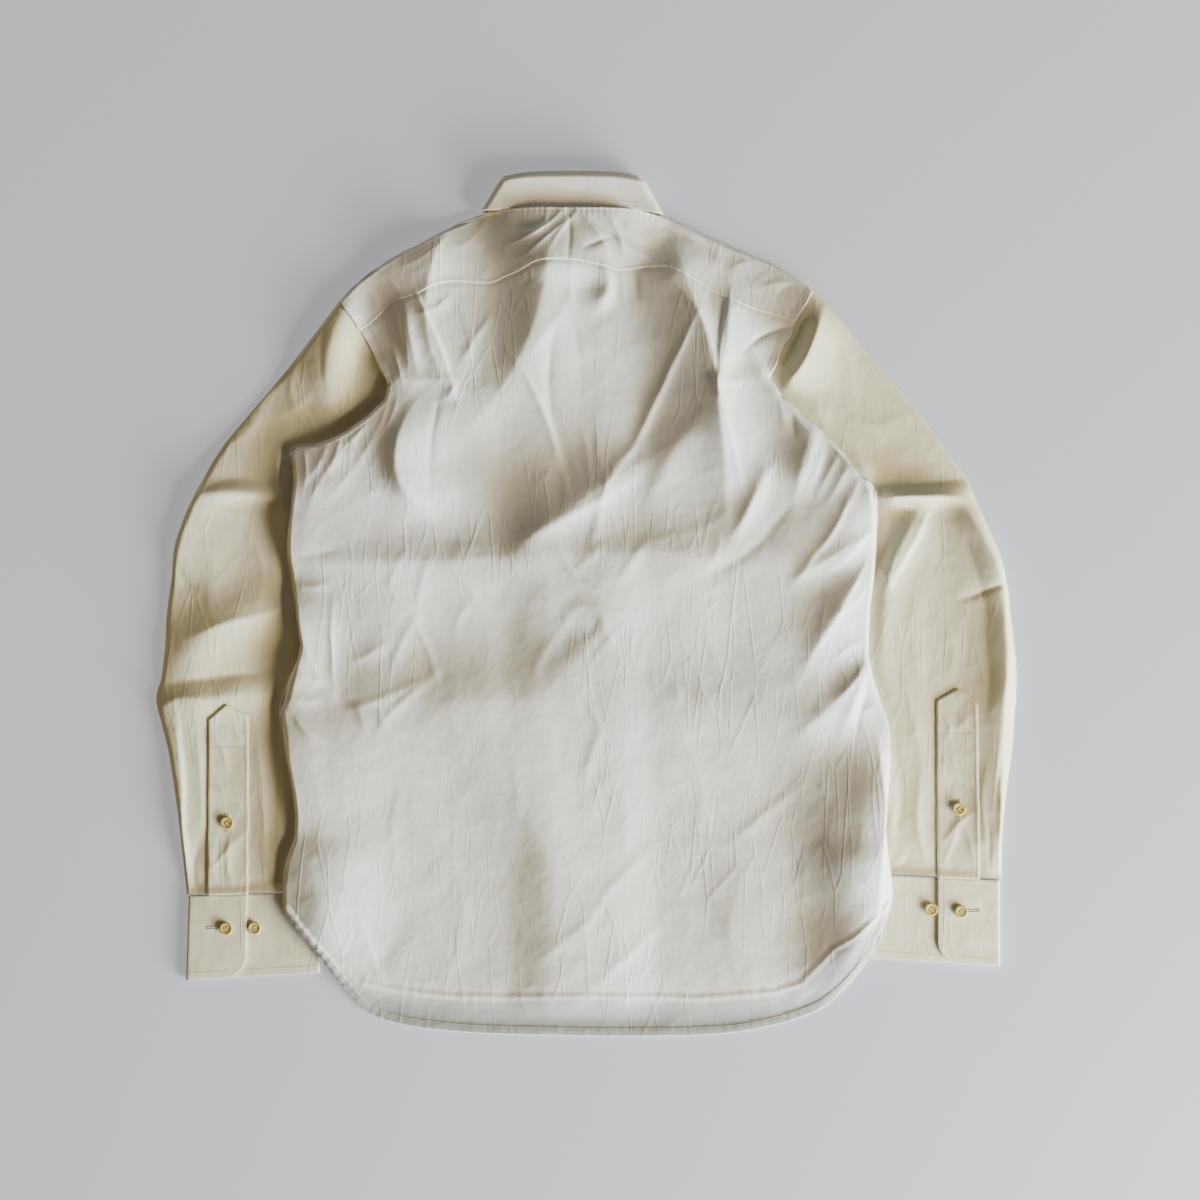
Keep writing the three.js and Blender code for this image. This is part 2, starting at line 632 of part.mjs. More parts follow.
// ---------------------------------------------------------------- fronts and placket
function makeFront(side) {
  const left = side === "left";
  const armEnd = turnedTip(side, SHOULDER_TURNING + SEAM_GAP / 2);
  const edgeAt = (y) => centreX(y) + (left ? -PLACKET_WIDTH / 2 - SEAM_GAP : -PLACKET_WIDTH / 2 + 2);
  const topY = left ? PLACKET_CORNER_Y : FRONT_NECK_Y - SEAM_GAP;
  const neckDrop = COLLAR.standSeamSideY - COLLAR.standFront.seamY;
  const neckEnd = left ? (COLLAR.standSeamSideY - topY) / neckDrop : 1;
  const neckline = shares(4).map((t) => frontNeck(side, lerp(NECK_TURNING + 0.006, neckEnd, t), 1));
  const shoulder = shares(4).map((t) => lerpPoint(armEnd, neckline[0], t));
  const topLine = byRow([...shoulder, ...neckline.slice(1), [edgeAt(topY), topY]]);
  const side0 = left ? leftSide : rightSide;
  const inset = (point) => [point[0] + (left ? SIDE_INSET : -SIDE_INSET), point[1]];
  const sideLine = byRow([armEnd, ...side0.slice(1, -1).map(inset), left ? [-270, -269] : [272, -267]]);
  const centreLine = (t) => {
    const y = lerp(topY, FRONT_HEM_Y, t);
    return [edgeAt(y), y];
  };
  const hemPoints = pointsOf(FRONT_HEM);
  const hemEndX = edgeAt(FRONT_HEM_Y);
  const beyond = hemPoints.filter(([x]) => (left ? x < hemEndX - 5 : x > hemEndX + 5));
  const half = left ? beyond : beyond.reverse();
  const hemLine = byLength([...half, [hemEndX, FRONT_HEM_Y]]);
  const place = patch(topLine, hemLine, sideLine, centreLine);
  const base = left ? frontBase : (x, y) => frontBase(x, y) + overlapLift(x, y);
  add("front_" + side, panel(place, shares(9), shares(SIDES.length - 1), base), cotton());
}

function makePlacket() {
  const place = (u, v) => {
    const y = lerp(FRONT_NECK_Y - SEAM_GAP, FRONT_HEM_Y, v);
    return [centreX(y) + PLACKET_WIDTH * (u - 0.5), y];
  };
  add("front_placket", panel(place, shares(2), shares(24), frontBase), cotton());
}

// ---------------------------------------------------------------- buttons
function buttonGeometry() {
  const profile = [
    [0, 0],
    [BUTTON_RADIUS * 0.7, 0],
    [BUTTON_RADIUS, BUTTON_THICKNESS * 0.5],
    [BUTTON_RADIUS * 0.86, BUTTON_THICKNESS],
    [0, BUTTON_THICKNESS * 0.75],
  ];
  const lathe = new THREE.LatheGeometry(profile.map(([r, z]) => new THREE.Vector2(r, z)), 12);
  lathe.deleteAttribute("normal");
  lathe.deleteAttribute("uv");
  lathe.rotateX(Math.PI / 2);
  const merged = mergeVertices(lathe, 1e-4);
  const vertices = merged.attributes.position;
  const point = (_, i) => [vertices.getX(i), vertices.getY(i), vertices.getZ(i)];
  const points = Array.from({ length: vertices.count }, point);
  const faces = [];
  const index = merged.index.array;
  for (let i = 0; i < index.length; i += 3) {
    const [a, b, c] = [index[i], index[i + 1], index[i + 2]];
    if (a !== b && b !== c && a !== c) faces.push([a, b, c]);
  }
  return geometryOf(points, faces);
}

function addButton(name, x, y, z) {
  add(name, buttonGeometry(), shell()).position.set(x, y, z);
}

function makeFrontButtons() {
  for (let i = 0; i < FRONT_BUTTONS; i++) {
    const y = FRONT_NECK_Y - FIRST_BUTTON_DROP - i * FRONT_BUTTON_PITCH;
    const button = add("front_button_" + (i + 1), buttonGeometry(), shell());
    button.rotation.x = Math.PI;
    button.position.set(centreX(y), y, frontBase(centreX(y), y) - 0.15);
  }
}

// ---------------------------------------------------------------- collar
// A band of the collar's ring: back, turn round the side of the neck, and front, on both sides.
// place(share of the band's width) gives the band's plan at the back, the side and the front.
function collarBand(place, radius, stations, widths, lift) {
  const centre = (q, w) => {
    const side = Math.sign(q);
    const along = Math.abs(q);
    const { halfWidth, backY, sideY, frontX, frontY, bow = 0 } = place(w, side);
    const flat = halfWidth - radius;
    if (along <= 1) {
      const y = lerp(backY, sideY, along ** 4);
      return [COLLAR.centreX + side * flat * along, y, COLLAR_MIDDLE_Z + radius];
    }
    if (along <= 2) {
      const angle = (along - 1) * Math.PI;
      return [
        COLLAR.centreX + side * (flat + radius * Math.sin(angle)),
        sideY,
        COLLAR_MIDDLE_Z + radius * Math.cos(angle),
      ];
    }
    const share = Math.min(1, along - 2);
    const past = Math.max(0, along - 3) * COLLAR.standLap - bow * Math.sin(Math.PI * share);
    return [
      COLLAR.centreX + side * (lerp(flat, frontX, share) - past),
      lerp(sideY, frontY, share),
      COLLAR_MIDDLE_Z - radius,
    ];
  };
  const outward = (q) => {
    const along = Math.abs(q);
    const angle = along <= 1 ? 0 : along <= 2 ? (along - 1) * Math.PI : Math.PI;
    return [Math.sign(q) * Math.sin(angle), 0, Math.cos(angle)];
  };
  const grids = [0.5, -0.5].map((half) =>
    widths.map(({ w, out, normalY, normalOut, thick }) =>
      stations.map((q) => {
        const [x, y, z] = centre(q, w);
        const [nx, , nz] = outward(q);
        const away = out + normalOut * half * thick + lift(q, w);
        return [x + nx * away, y + normalY * half * thick, z + nz * away];
      }),
    ),
  );
  return wall(grids[0], grids[1]);
}

const ringStations = (frontEnd) => {
  const half = [0.25, 0.5, 0.75, 1, 1.17, 1.33, 1.5, 1.67, 1.83, 2, 2.25, 2.5, 2.75, 3];
  for (let q = 3.5; q <= frontEnd; q += 0.5) half.push(q);
  return [...half.map((q) => -q).reverse(), 0, ...half];
};

function makeCollar() {
  const c = COLLAR;
  const leafPlace = (w, side) => ({
    halfWidth: lerp(c.foldHalf, c.edgeHalf, w),
    backY: lerp(c.foldY - c.rollRadius - COLLAR_PLY / 2, c.leafEdgeY, w),
    sideY: lerp(c.foldSideY - c.rollRadius - COLLAR_PLY / 2, c.leafEdgeSideY - (side > 0 ? 2.5 : 0), w),
    frontX: lerp(c.leafFront.foldX, c.leafFront.pointX, w),
    frontY: lerp(c.leafFront.foldY, c.leafFront.pointY, w),
  });
  // The roll at the fold line, from the stand's side round to the leaf's side, then the leaf.
  const roll = shares(3).map((t) => {
    const angle = Math.PI * (1 - t);
    return {
      w: 0,
      out: -c.rollRadius + c.rollRadius * Math.cos(angle),
      rise: c.rollRadius * Math.sin(angle),
      normalY: Math.sin(angle),
      normalOut: Math.cos(angle),
      thick: COLLAR_PLY,
    };
  });
  const leaf = [0.15, 0.35, 0.55, 0.78, 1].map((w) => ({
    w, out: 0, rise: 0, normalY: 0, normalOut: 1, thick: COLLAR_PLY,
  }));
  const bulge = (q, w) => c.leafBulge * Math.sin(Math.PI * clamp(w)) * smooth(1.8 - Math.abs(q));
  const widths = [...roll, ...leaf];
  const geometry = collarBand(leafPlace, c.radius, ringStations(3), widths, bulge);
  const position = geometry.getAttribute("position");
  const perWidth = ringStations(3).length;
  for (let k = 0; k < 2; k++)
    widths.forEach(({ rise }, j) => {
      for (let i = 0; i < perWidth; i++) {
        const at = k * widths.length * perWidth + j * perWidth + i;
        position.setY(at, position.getY(at) + rise);
      }
    });
  add("collar_leaf", geometry, cotton());

  const topGap = c.rollRadius + COLLAR_PLY / 2 + SEAM_GAP;
  const standPlace = (w) => ({
    halfWidth: lerp(c.foldHalf, c.seamHalf, w) - 2 * c.rollRadius,
    backY: lerp(c.foldY - topGap, c.standSeamY, w),
    sideY: lerp(c.foldSideY - topGap, c.standSeamSideY, w),
    frontX: lerp(c.leafFront.foldX, c.standFront.seamX, w),
    frontY: lerp(c.leafFront.foldY - SEAM_GAP, c.standFront.seamY, w),
    bow: NECK_BOW * w,
  });
  const lap = (q) =>
    -c.standRise * smooth((Math.abs(q) - 2.2) / 0.6) - (COLLAR_PLY + SEAM_GAP) * smooth((q - 2.1) / 0.6);
  const bands = shares(3).map((w) => ({ w, out: 0, normalY: 0, normalOut: 1, thick: COLLAR_PLY }));
  const stations = ringStations(4);
  add("collar_stand", collarBand(standPlace, STAND_RADIUS, stations, bands, lap), cotton());
  const button = add("collar_button", buttonGeometry(), shell());
  button.rotation.x = Math.PI;
  button.position.set(c.centreX, lerp(c.leafFront.foldY, c.standFront.seamY, 0.5), BUTTON_THICKNESS + 0.1);
}

// ---------------------------------------------------------------- sleeves, cuffs, sleeve plackets
const SLEEVE_SHARES = [0.018, 0.1, 0.2, 0.3, 0.4, 0.5, 0.6, 0.7, 0.8, 0.9, 0.985];
const HELD_DOWN = 17; // how far past the body's edge its weight keeps the sleeve flat
const UNDER_SHARES = [0.018, 0.2, 0.4, 0.6, 0.8, 0.985];

function insideBody(x, y) {
  const row = (side, key) => atHeight(SIDES, side + "Y", side + "X", y, key);
  return y < 200 && x > row("left") && x < row("right");
}

function sleevePatch(side) {
  const sections = SLEEVE_SECTIONS[side];
  const armhole = ARMHOLE[side];
  const sign = side === "left" ? -1 : 1;
  const clear = pointsOf(armhole).map(([x, y]) => [x + sign * 0.4, y - 0.25]);
  const outer = curve(sections.map(({ outX, outY }, i) => (i ? [outX, outY] : clear[0])));
  const inner = curve(sections.map(({ inX, inY }, i) => (i ? [inX, inY] : clear[clear.length - 1])));
  const cuffEdge = (t) => lerpPoint(outer(1), inner(1), t);
  return patch(byRow(clear), cuffEdge, outer, inner);
}

// The top of a sleeve that has been pressed flat and rises in folds where the body doesn't hold it down.
function sleeveTop(place, u, v) {
  const [x, y] = place(u, v);
  const [ox, oy] = place(0, v);
  const free = insideBody(x, y) ? 0 : smooth((toEdge(x, y, coverEdges) - HELD_DOWN) / 14);
  return FLAT_SLEEVE + relief(x, y) * free * rolled(Math.hypot(x - ox, y - oy) + 0.5, 9);
}

function makeSleeve(side) {
  const place = sleevePatch(side);
  const stations = shares(21);
  const wallShare = (v) => {
    const [[ax, ay], [bx, by]] = [place(0, v), place(1, v)];
    return (CLOTH * 1.15) / Math.hypot(bx - ax, by - ay);
  };
  const middle = FLAT_SLEEVE / 2;
  const ring = (v, inset) => {
    const edge = inset * wallShare(v);
    const squeeze = (u) => lerp(edge, 1 - edge, u);
    const top = SLEEVE_SHARES.map((share) => {
      const u = squeeze(share);
      return [...place(u, v), sleeveTop(place, u, v) - inset * CLOTH];
    });
    const low = UNDER_SHARES.map((u) => [...place(squeeze(u), v), inset * CLOTH]);
    return [[...place(edge, v), middle], ...top, [...place(1 - edge, v), middle], ...low.reverse()];
  };
  add("sleeve_" + side, tube(stations.map((v) => ring(v, 0)), stations.map((v) => ring(v, 1))), cotton());
}

const CORNER_CUT_SHARES = [1, 0.5]; // how far the cuff's first two columns follow its rounded corner

// A barrel cuff: one band that goes round flat and laps over its own end.
function makeCuff(side) {
  const { topOut, topIn, bottomOut, bottomIn, endX, underEndX, cornerRadius } = CUFFS[side];
  const spanX = topIn[0] - topOut[0];
  const endShare = (endX - topOut[0]) / spanX;
  const underShare = (underEndX - topOut[0]) / spanX;
  const level = CUFF_PLY + SEAM_GAP;
  const height = Math.abs(topOut[1] - bottomOut[1]);
  const edge = CUFF_PLY / Math.abs(spanX);
  // The band's middle line, as share across and level, from its outer end to its hidden end.
  const path = [
    ...shares(3).map((t) => [lerp(endShare, edge * 1.5, t), 2, t === 0]),
    [edge * 0.5, 1.6], [edge * 0.5, 0.4],
    [edge * 1.5, 0],
    ...[0.25, 0.5, 0.75].map((t) => [t, 0]),
    [1 - edge * 1.2, 0], [1 - edge * 0.5, 0.28], [1 - edge * 0.5, 0.72], [1 - edge * 1.2, 1],
    ...[0.75, 0.55].map((t) => [t, 1]),
    [underShare, 1],
  ];
  const rows = [0, 0.35, 0.7, 0.8, 0.9, 0.96, 1];
  const cut = (v) => {
    const up = (1 - v) * height;
    return up >= cornerRadius ? 0 : cornerRadius - Math.sqrt(cornerRadius ** 2 - (cornerRadius - up) ** 2);
  };
  const turnOf = (i) => {
    const [a, b] = [path[Math.max(0, i - 1)], path[Math.min(path.length - 1, i + 1)]];
    const [dx, dz] = [(b[0] - a[0]) * Math.abs(spanX), (b[1] - a[1]) * level];
    const length = Math.hypot(dx, dz);
    return [-dz / length, dx / length];
  };
  const grids = [0.5, -0.5].map((half) =>
    rows.map((v) =>
      path.map(([share, step], i) => {
        const trimmed = share - (CORNER_CUT_SHARES[i] ?? 0) * (cut(v) / Math.abs(spanX));
        const [nx, nz] = turnOf(i);
        const across = trimmed + (nx * half * CUFF_PLY) / Math.abs(spanX);
        const upper = lerpPoint(topOut, topIn, across);
        const [x, y] = lerpPoint(upper, lerpPoint(bottomOut, bottomIn, across), v);
        return [x, y, CUFF_PLY / 2 + step * level + nz * half * CUFF_PLY];
      }),
    ),
  );
  add("cuff_" + side, wall(grids[0], grids[1]), cotton());
  CUFFS[side].buttons.forEach(([x, y], i) => {
    const seat = (i === 0 ? 2 : 1) * level + CUFF_PLY + BUTTON_SEAT;
    addButton(`cuff_button_${side}_${i + 1}`, x, y, seat);
  });
}

function makeGauntlet(side) {
  const { tip, shoulders, base, button } = GAUNTLETS[side];
  const place = (u, v) => {
    const top = u < 0.5 ? lerpPoint(shoulders[0], tip, u * 2) : lerpPoint(tip, shoulders[1], u * 2 - 1);
    return lerpPoint(top, lerpPoint(base[0], base[1], u), v);
  };
  const sleeve = sleevePatch(side);
  const onSleeve = (x, y) => {
    const [ox, oy] = nearestOuter(sleeve, x, y);
    return FLAT_SLEEVE + relief(x, y) * rolled(Math.hypot(x - ox, y - oy) + 0.5, 9);
  };
  const lift = (x, y) => onSleeve(x, y) + 2 * SEAM_GAP;
  add("sleeve_placket_" + side, panel(place, shares(4), shares(11), lift), cotton());
  addButton("sleeve_button_" + side, button[0], button[1], lift(...button) + CLOTH + 2 * BUTTON_SEAT);
}

function nearestOuter(place, x, y) {
  const line = shares(40).map((v) => place(0, v));
  return line.reduce((best, point) =>
    Math.hypot(point[0] - x, point[1] - y) < Math.hypot(best[0] - x, best[1] - y) ? point : best,
  );
}

// ---------------------------------------------------------------- assembly
makeBack();
for (const side of ["left", "right"]) {
  makeYoke(side);
  makeFront(side);
  makeSleeve(side);
  makeCuff(side);
  makeGauntlet(side);
}
makePlacket();
makeFrontButtons();
makeCollar();

export default shirt;
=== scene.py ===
"""A man's ivory poplin shirt, laid face down with its sleeves folded back under its sides."""

import math
from functools import partial

import bpy
import numpy as np
from mathutils import Matrix, Vector


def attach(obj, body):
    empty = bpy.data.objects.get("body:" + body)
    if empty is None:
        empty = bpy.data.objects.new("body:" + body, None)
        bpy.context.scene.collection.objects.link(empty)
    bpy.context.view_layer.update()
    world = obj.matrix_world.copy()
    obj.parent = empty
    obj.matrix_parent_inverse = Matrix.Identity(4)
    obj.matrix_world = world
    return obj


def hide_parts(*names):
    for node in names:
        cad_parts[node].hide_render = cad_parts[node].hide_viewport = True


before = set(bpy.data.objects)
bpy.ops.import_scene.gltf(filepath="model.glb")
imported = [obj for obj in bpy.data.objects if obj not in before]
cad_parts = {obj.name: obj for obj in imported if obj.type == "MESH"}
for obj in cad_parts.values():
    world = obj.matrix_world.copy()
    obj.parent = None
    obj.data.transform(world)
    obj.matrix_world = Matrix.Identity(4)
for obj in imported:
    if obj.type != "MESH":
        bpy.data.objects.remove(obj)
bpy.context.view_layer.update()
MM = 0.001

# ------------------------------------------------------------------ sizes, in millimetres
CLOTH = 1.2
COLLAR_PLY = 1.5
CUFF_PLY = 1.6
SEAM_GAP = 0.3
AIR = 1.4
EDGE_AIR = 0.2
FLAT_SLEEVE = 2 * CLOTH + SEAM_GAP
SLEEVE_LIFT = FLAT_SLEEVE + 0.5
CUFF_LIFT = 1.1
LIFT_RUN = 60
PLACKET_WIDTH = 35
PLACKET_LIFT = 2.6
FRONT_NECK_Y = 276
FRONT_HEM_Y = -352
PLACKET_CORNER_Y = 285.5
SHOULDER_TURNING = 28
HEM_WIDTH = 7
BUTTON_RADIUS = 5.75
BUTTON_THICKNESS = 2.4
BUTTON_HOLE_SPREAD = 1.75
BUTTON_HOLE_RADIUS = 0.75
FRONT_BUTTONS = 7
FRONT_BUTTON_TOP_Y = 216
FRONT_BUTTON_PITCH = 77.4
COLLAR_BUTTON = (-12, 291.3)
CUFF_BUTTON_Z = (5.55, 3.75)
SLEEVE_BUTTON_RISE = 0.35
SOFT_EDGE = 0.3
CREASE_POWER = 1.15
CREASE_GAIN = 1.5
STITCH_PITCH = 2.3
LEAF_ROLL_ROWS = 7
LEAF_STITCH_ROW = LEAF_ROLL_ROWS + 20
LEAF_STITCH_REACH = 47
EYE = (0.01305, 0.0036, 1.5)
FLOOR_HALF = 9000
BACKDROP_RADIUS = 8900
SINGLE_PLY_TONE = (0.33, 0.31, 0.25)
SIDES = ("left", "right")


def table(columns, rows):
    names = columns.split()
    return [dict(zip(names, row)) for row in rows]


def creases(rows):
    return table("x1 y1 x2 y2 x3 y3 height left right", rows)


# ------------------------------------------------------------------ outlines
YOKE_SEAM = [
    (-202, 245), (-188, 256), (-176, 267), (-167, 272), (-149, 277), (-138, 283), (-122, 288), (-84, 287.5),
    (-71, 292.5), (-57, 298), (-45, 304), (-32, 306), (-5, 305.5), (15, 301.5), (31, 298), (44.5, 300),
    (58, 301.5), (76, 300.5), (94, 291.5), (112, 281), (130, 273), (150, 265.5), (166, 261), (188, 254),
]
LEFT_SIDE = [
    (-202, 245), (-194, 233), (-183, 211), (-178, 202), (-176, 195), (-179.5, 182), (-194, 168), (-212, 155),
    (-225.5, 148), (-239, 143), (-258, 141), (-264, 136), (-261, 122), (-260, 107), (-264, 75), (-266, 47),
    (-264, 31), (-259, -1), (-257, -19), (-254, -37), (-257, -50), (-266, -70), (-273, -97), (-270, -118),
    (-267, -138), (-261, -169), (-259, -190), (-260, -210), (-267, -230), (-270, -253), (-269.5, -275),
]
RIGHT_SIDE = [
    (188, 254), (184, 242), (176, 231), (170.5, 215), (165, 203), (175, 186), (193, 170), (213, 152),
    (231, 132), (244, 116), (257, 103), (260, 87), (260, 65), (259, 42), (257, 20), (254, -3), (253, -23),
    (253, -34), (252.5, -46), (256, -64), (263, -86), (270.5, -109), (272, -127), (272, -145), (270, -172),
    (267, -201), (270, -223), (273, -244), (274, -259), (273, -271),
]
BACK_HEM = [
    (-269.5, -275), (-259, -291), (-241, -311), (-228, -329), (-212, -349), (-203, -361), (-187, -371),
    (-162, -378), (-126, -383), (-81, -386), (-36, -387), (8, -388), (60, -388), (103, -387), (139, -384),
    (170, -378), (193, -371), (213, -362), (229, -348), (244, -331), (258, -311), (267, -289), (273, -271),
]
FRONT_HEM = [
    (-270, -269), (-246, -299), (-222, -325), (-205, -338), (-187, -343), (-158, -348), (-122, -352),
    (-77, -353), (-23, -351), (13, -351), (103, -354), (170, -348), (193, -340), (222, -307), (240, -296),
    (272, -267),
]
SHOULDER = {
    "left": [(-220, 271), (-203, 288), (-183, 303), (-167, 313), (-149, 322), (-122, 336), (-92, 348.5)],
    "right": [(203, 281), (193, 288), (175, 300), (150, 311), (125.5, 322), (103, 332), (66, 347)],
}
NECK_TOP = [(-92, 348.5), (-70, 351.8), (-50, 352.6), (-14, 352.6), (20, 352.6), (45, 351.8), (66, 347)]
ARMHOLE = {
    "left": [(-220, 271), (-207, 256), (-194, 233), (-183, 211), (-178, 196), (-172, 160), (-178, 120)],
    "right": [(203, 281), (197, 268), (188, 254), (176, 231), (165, 203), (157, 165), (163, 135)],
}
SLEEVE_OUT = {
    "left": [
        (-220, 272), (-239, 247), (-257, 223), (-278, 197), (-302, 169), (-327, 138), (-344, 109), (-353, 92),
        (-363, 68), (-368.5, 49), (-371, 22), (-375, -8), (-377, -41), (-380, -66), (-384.5, -84),
        (-380, -107), (-374, -131), (-369.5, -158), (-365, -190), (-360.5, -230), (-357, -260.5),
    ],
    "right": [
        (203, 281), (220, 265), (240, 240), (258, 218), (283, 189), (302, 166), (316, 147), (328, 130),
        (341, 112), (350, 92), (360.5, 69), (370, 47), (377, 22), (380, -1), (383, -28), (385.5, -52),
        (386, -77), (384, -104), (382, -133), (378, -160), (374.5, -194), (373, -217), (372.5, -246.5),
    ],
}
SLEEVE_IN = {
    "left": [
        (-178, 120), (-176, 92), (-178, 72), (-181, 46), (-186, 14), (-194, -28), (-203, -74), (-212, -116),
        (-220, -158), (-229, -204), (-240, -258),
    ],
    "right": [
        (163, 135), (163, 98), (167, 74), (172, 44), (178, 10), (188, -32), (197, -74), (207, -114),
        (216, -150), (229, -194), (253, -241.5),
    ],
}
CUFF = {
    "left": dict(
        top_out=(-356.6, -262), top_in=(-239.5, -259), bottom_out=(-359, -337.5), bottom_in=(-238.5, -331),
        end=-303.5, under_end=-338, corner=19, buttons=[(-322, -290.7), (-297, -290.7)],
    ),
    "right": dict(
        top_out=(372.3, -247.9), top_in=(252.5, -243), bottom_out=(372.6, -325), bottom_in=(252, -317.5),
        end=316.5, under_end=350, corner=19, buttons=[(336.6, -275.5), (310.2, -273.8)],
    ),
}
SLEEVE_PLACKET = {
    "left": dict(
        tip=(-321, -90.5), shoulders=[(-337, -104), (-303, -100.5)], base=[(-338.5, -260.6), (-303.4, -259.6)],
        button=(-321.3, -196.2), bar=-129,
    ),
    "right": dict(
        tip=(334.5, -76.5), shoulders=[(316, -87), (350.5, -90)], base=[(316.5, -244.8), (353, -246.4)],
        button=(334.8, -183.6), bar=-117,
    ),
}
TUCK = table(
    "y left right",
    [
        (225, 235, 222), (200, 172, 157), (120, 172, 157), (60, 178, 166), (0, 187, 178), (-60, 199, 192),
        (-120, 212, 208), (-190, 226, 227), (-260, 237, 250), (-340, 237, 250),
    ],
)
COLLAR = dict(
    centre=-12, fold_half=62, edge_half=81, seam_half=76, fold_y=387, fold_side_y=383, leaf_y=353.6,
    leaf_side_y=351.6, seam_y=353.2, seam_side_y=351.5, radius=6, roll=0.9, bulge=3.4,
    leaf_front=(6, 306), leaf_point=(47, 264), stand_front=(8, 276.6), lap=24, rise=1.2, bow=12,
)
STAND_RADIUS = COLLAR["radius"] - 2 * COLLAR["roll"]
COLLAR_MIDDLE = COLLAR["radius"] + COLLAR_PLY / 2
NECK_LIFT = COLLAR_MIDDLE + STAND_RADIUS - (CLOTH + SEAM_GAP + AIR) - CLOTH / 2
LEAF_LIFT = COLLAR_PLY + 2 * SEAM_GAP

# ------------------------------------------------------------------ folds and creases
# Each runs through three points; left and right are its half-widths, seen along it. A low power makes a sharp crest.
FOLDS = table(
    "name x1 y1 x2 y2 x3 y3 height left right power",
    [
        ("left shoulder edge", -214, 278, -172, 312, -108, 342, 5, 8, 30, 1.6),
        ("left armhole hollow", -186, 292, -197, 240, -200, 198, -6, 24, 16, 2),
        ("left pleat", -112, 352, -143, 264, -116, 180, 14, 36, 48, 1.2),
        ("left blade", -38, 372, -42, 262, -92, 170, 13, 44, 38, 1.3),
        ("left armhole tuck", -161, 268, -156, 240, -151, 212, 4, 6, 7, 1.6),
        ("left underarm turn", -172, 192, -206, 160, -256, 138, 8, 44, 8, 1.6),
        ("left rib", -158, 168, -170, 128, -146, 82, 12, 46, 13, 1.3),
        ("left side upper", -262, 125, -264, 85, -262, 40, 11, 70, 7, 1.6),
        ("left side waist", -259, 8, -254, -34, -262, -84, 9, 26, 7, 1.6),
        ("upper band", -252, 38, -160, 38, -62, 42, 8.5, 22, 62, 1.5),
        ("middle swag", -66, 44, -18, 82, 52, 128, 10, 28, 26, 1.4),
        ("middle tuck", -28, 42, 52, 46, 132, 38, 6, 24, 44, 1.5),
        ("right blade", 88, 296, 107, 235, 126, 104, 25, 26, 52, 1.3),
        ("centre gather left", 18, 302, 22, 284, 14, 264, 5, 6, 12, 1.6),
        ("centre gather right", 58, 334, 76, 312, 84, 286, 3.5, 14, 30, 1.6),
        ("right pleat", 130, 280, 126, 244, 121, 208, 5, 16, 6, 1.3),
        ("right armhole turn", 142, 224, 168, 188, 226, 126, 6, 8, 18, 1.6),
        ("right armhole rib", 206, 172, 200, 140, 188, 104, 7.5, 10, 44, 1.6),
        ("right side upper", 224, 142, 250, 104, 255, 60, 15, 8, 56, 1.6),
        ("right rib", 158, 120, 150, 92, 132, 60, 5, 9, 14, 1.3),
        ("right middle rib", 94, 157, 68, 121, 56, 83, 4, 20, 16, 1.5),
        ("right hip", 10, 36, 130, 44, 225, 14, 9, 54, 110, 2),
        ("right waist upper", 255, 62, 226, 46, 190, 24, 4, 12, 12, 1.3),
        ("right waist lower", 253, 34, 225, -2, 197, -54, 9, 34, 22, 1.4),
        ("right side tuck", 250, -58, 222, -88, 194, -114, 6, 22, 16, 1.4),
        ("right side fin", 254, -50, 240, -84, 230, -112, 3, 8, 8, 1.4),
        ("right side lower", 263, -140, 264, -200, 260, -262, 18, 8, 54, 2),
        ("right tail turn", 262, -262, 240, -304, 202, -344, 11, 16, 40, 1.6),
        ("left side lower", -268, -96, -263, -150, -263, -206, 7, 50, 8, 1.6),
        ("left tail", -258, -212, -236, -250, -224, -304, 7, 60, 32, 2),
        ("lower band left", -222, -88, -122, -90, -22, -84, 10, 40, 80, 1.7),
        ("lower band right", 14, -100, 103, -102, 200, -106, 6, 40, 70, 2),
        ("middle knot", -26, -70, -10, -50, 8, -36, 2.5, 14, 30, 1.8),
        ("tail diagonal", -106, -118, -62, -172, -22, -240, 5, 34, 32, 2),
        ("tail centre", -20, -226, -15, -290, -18, -364, 2.5, 50, 44, 2),
        ("tail right", 138, -196, 142, -270, 140, -350, 2.5, 40, 36, 2),
        ("left sleeve head", -214, 268, -231, 222, -230, 172, 11, 26, 24, 1.6),
        ("left upper sleeve", -330, 140, -366, 70, -374, 0, 7.5, 46, 14, 1.6),
        ("left elbow ridge", -345, 99, -311, 101, -280, 98, 6, 8, 9, 1.6),
        ("left forearm swell", -372, -58, -324, -20, -278, -2, 9, 26, 26, 1.8),
        ("left wrist ridge", -376, -90, -343, -84, -290, -80, 7, 18, 24, 1.6),
        ("left forearm edge", -374, -100, -366, -170, -358, -240, 3.5, 30, 12, 1.6),
        ("right sleeve head", 208, 268, 203, 230, 182, 196, 11, 20, 12, 1.6),
        ("right elbow ridge", 268, 97, 301, 97, 334, 97, 9, 11, 9, 1.6),
        ("right elbow roll", 334, 92, 360, 52, 373, 14, 11, 9, 24, 1.6),
        ("right forearm roll", 374, 24, 376, -60, 370, -136, 11, 8, 24, 1.4),
        ("right wrist roll", 370, -130, 369, -190, 366, -238, 6, 8, 20, 1.6),
        ("right elbow tuck", 300, 84, 282, 52, 266, 22, 6, 16, 8, 1.6),
    ],
)
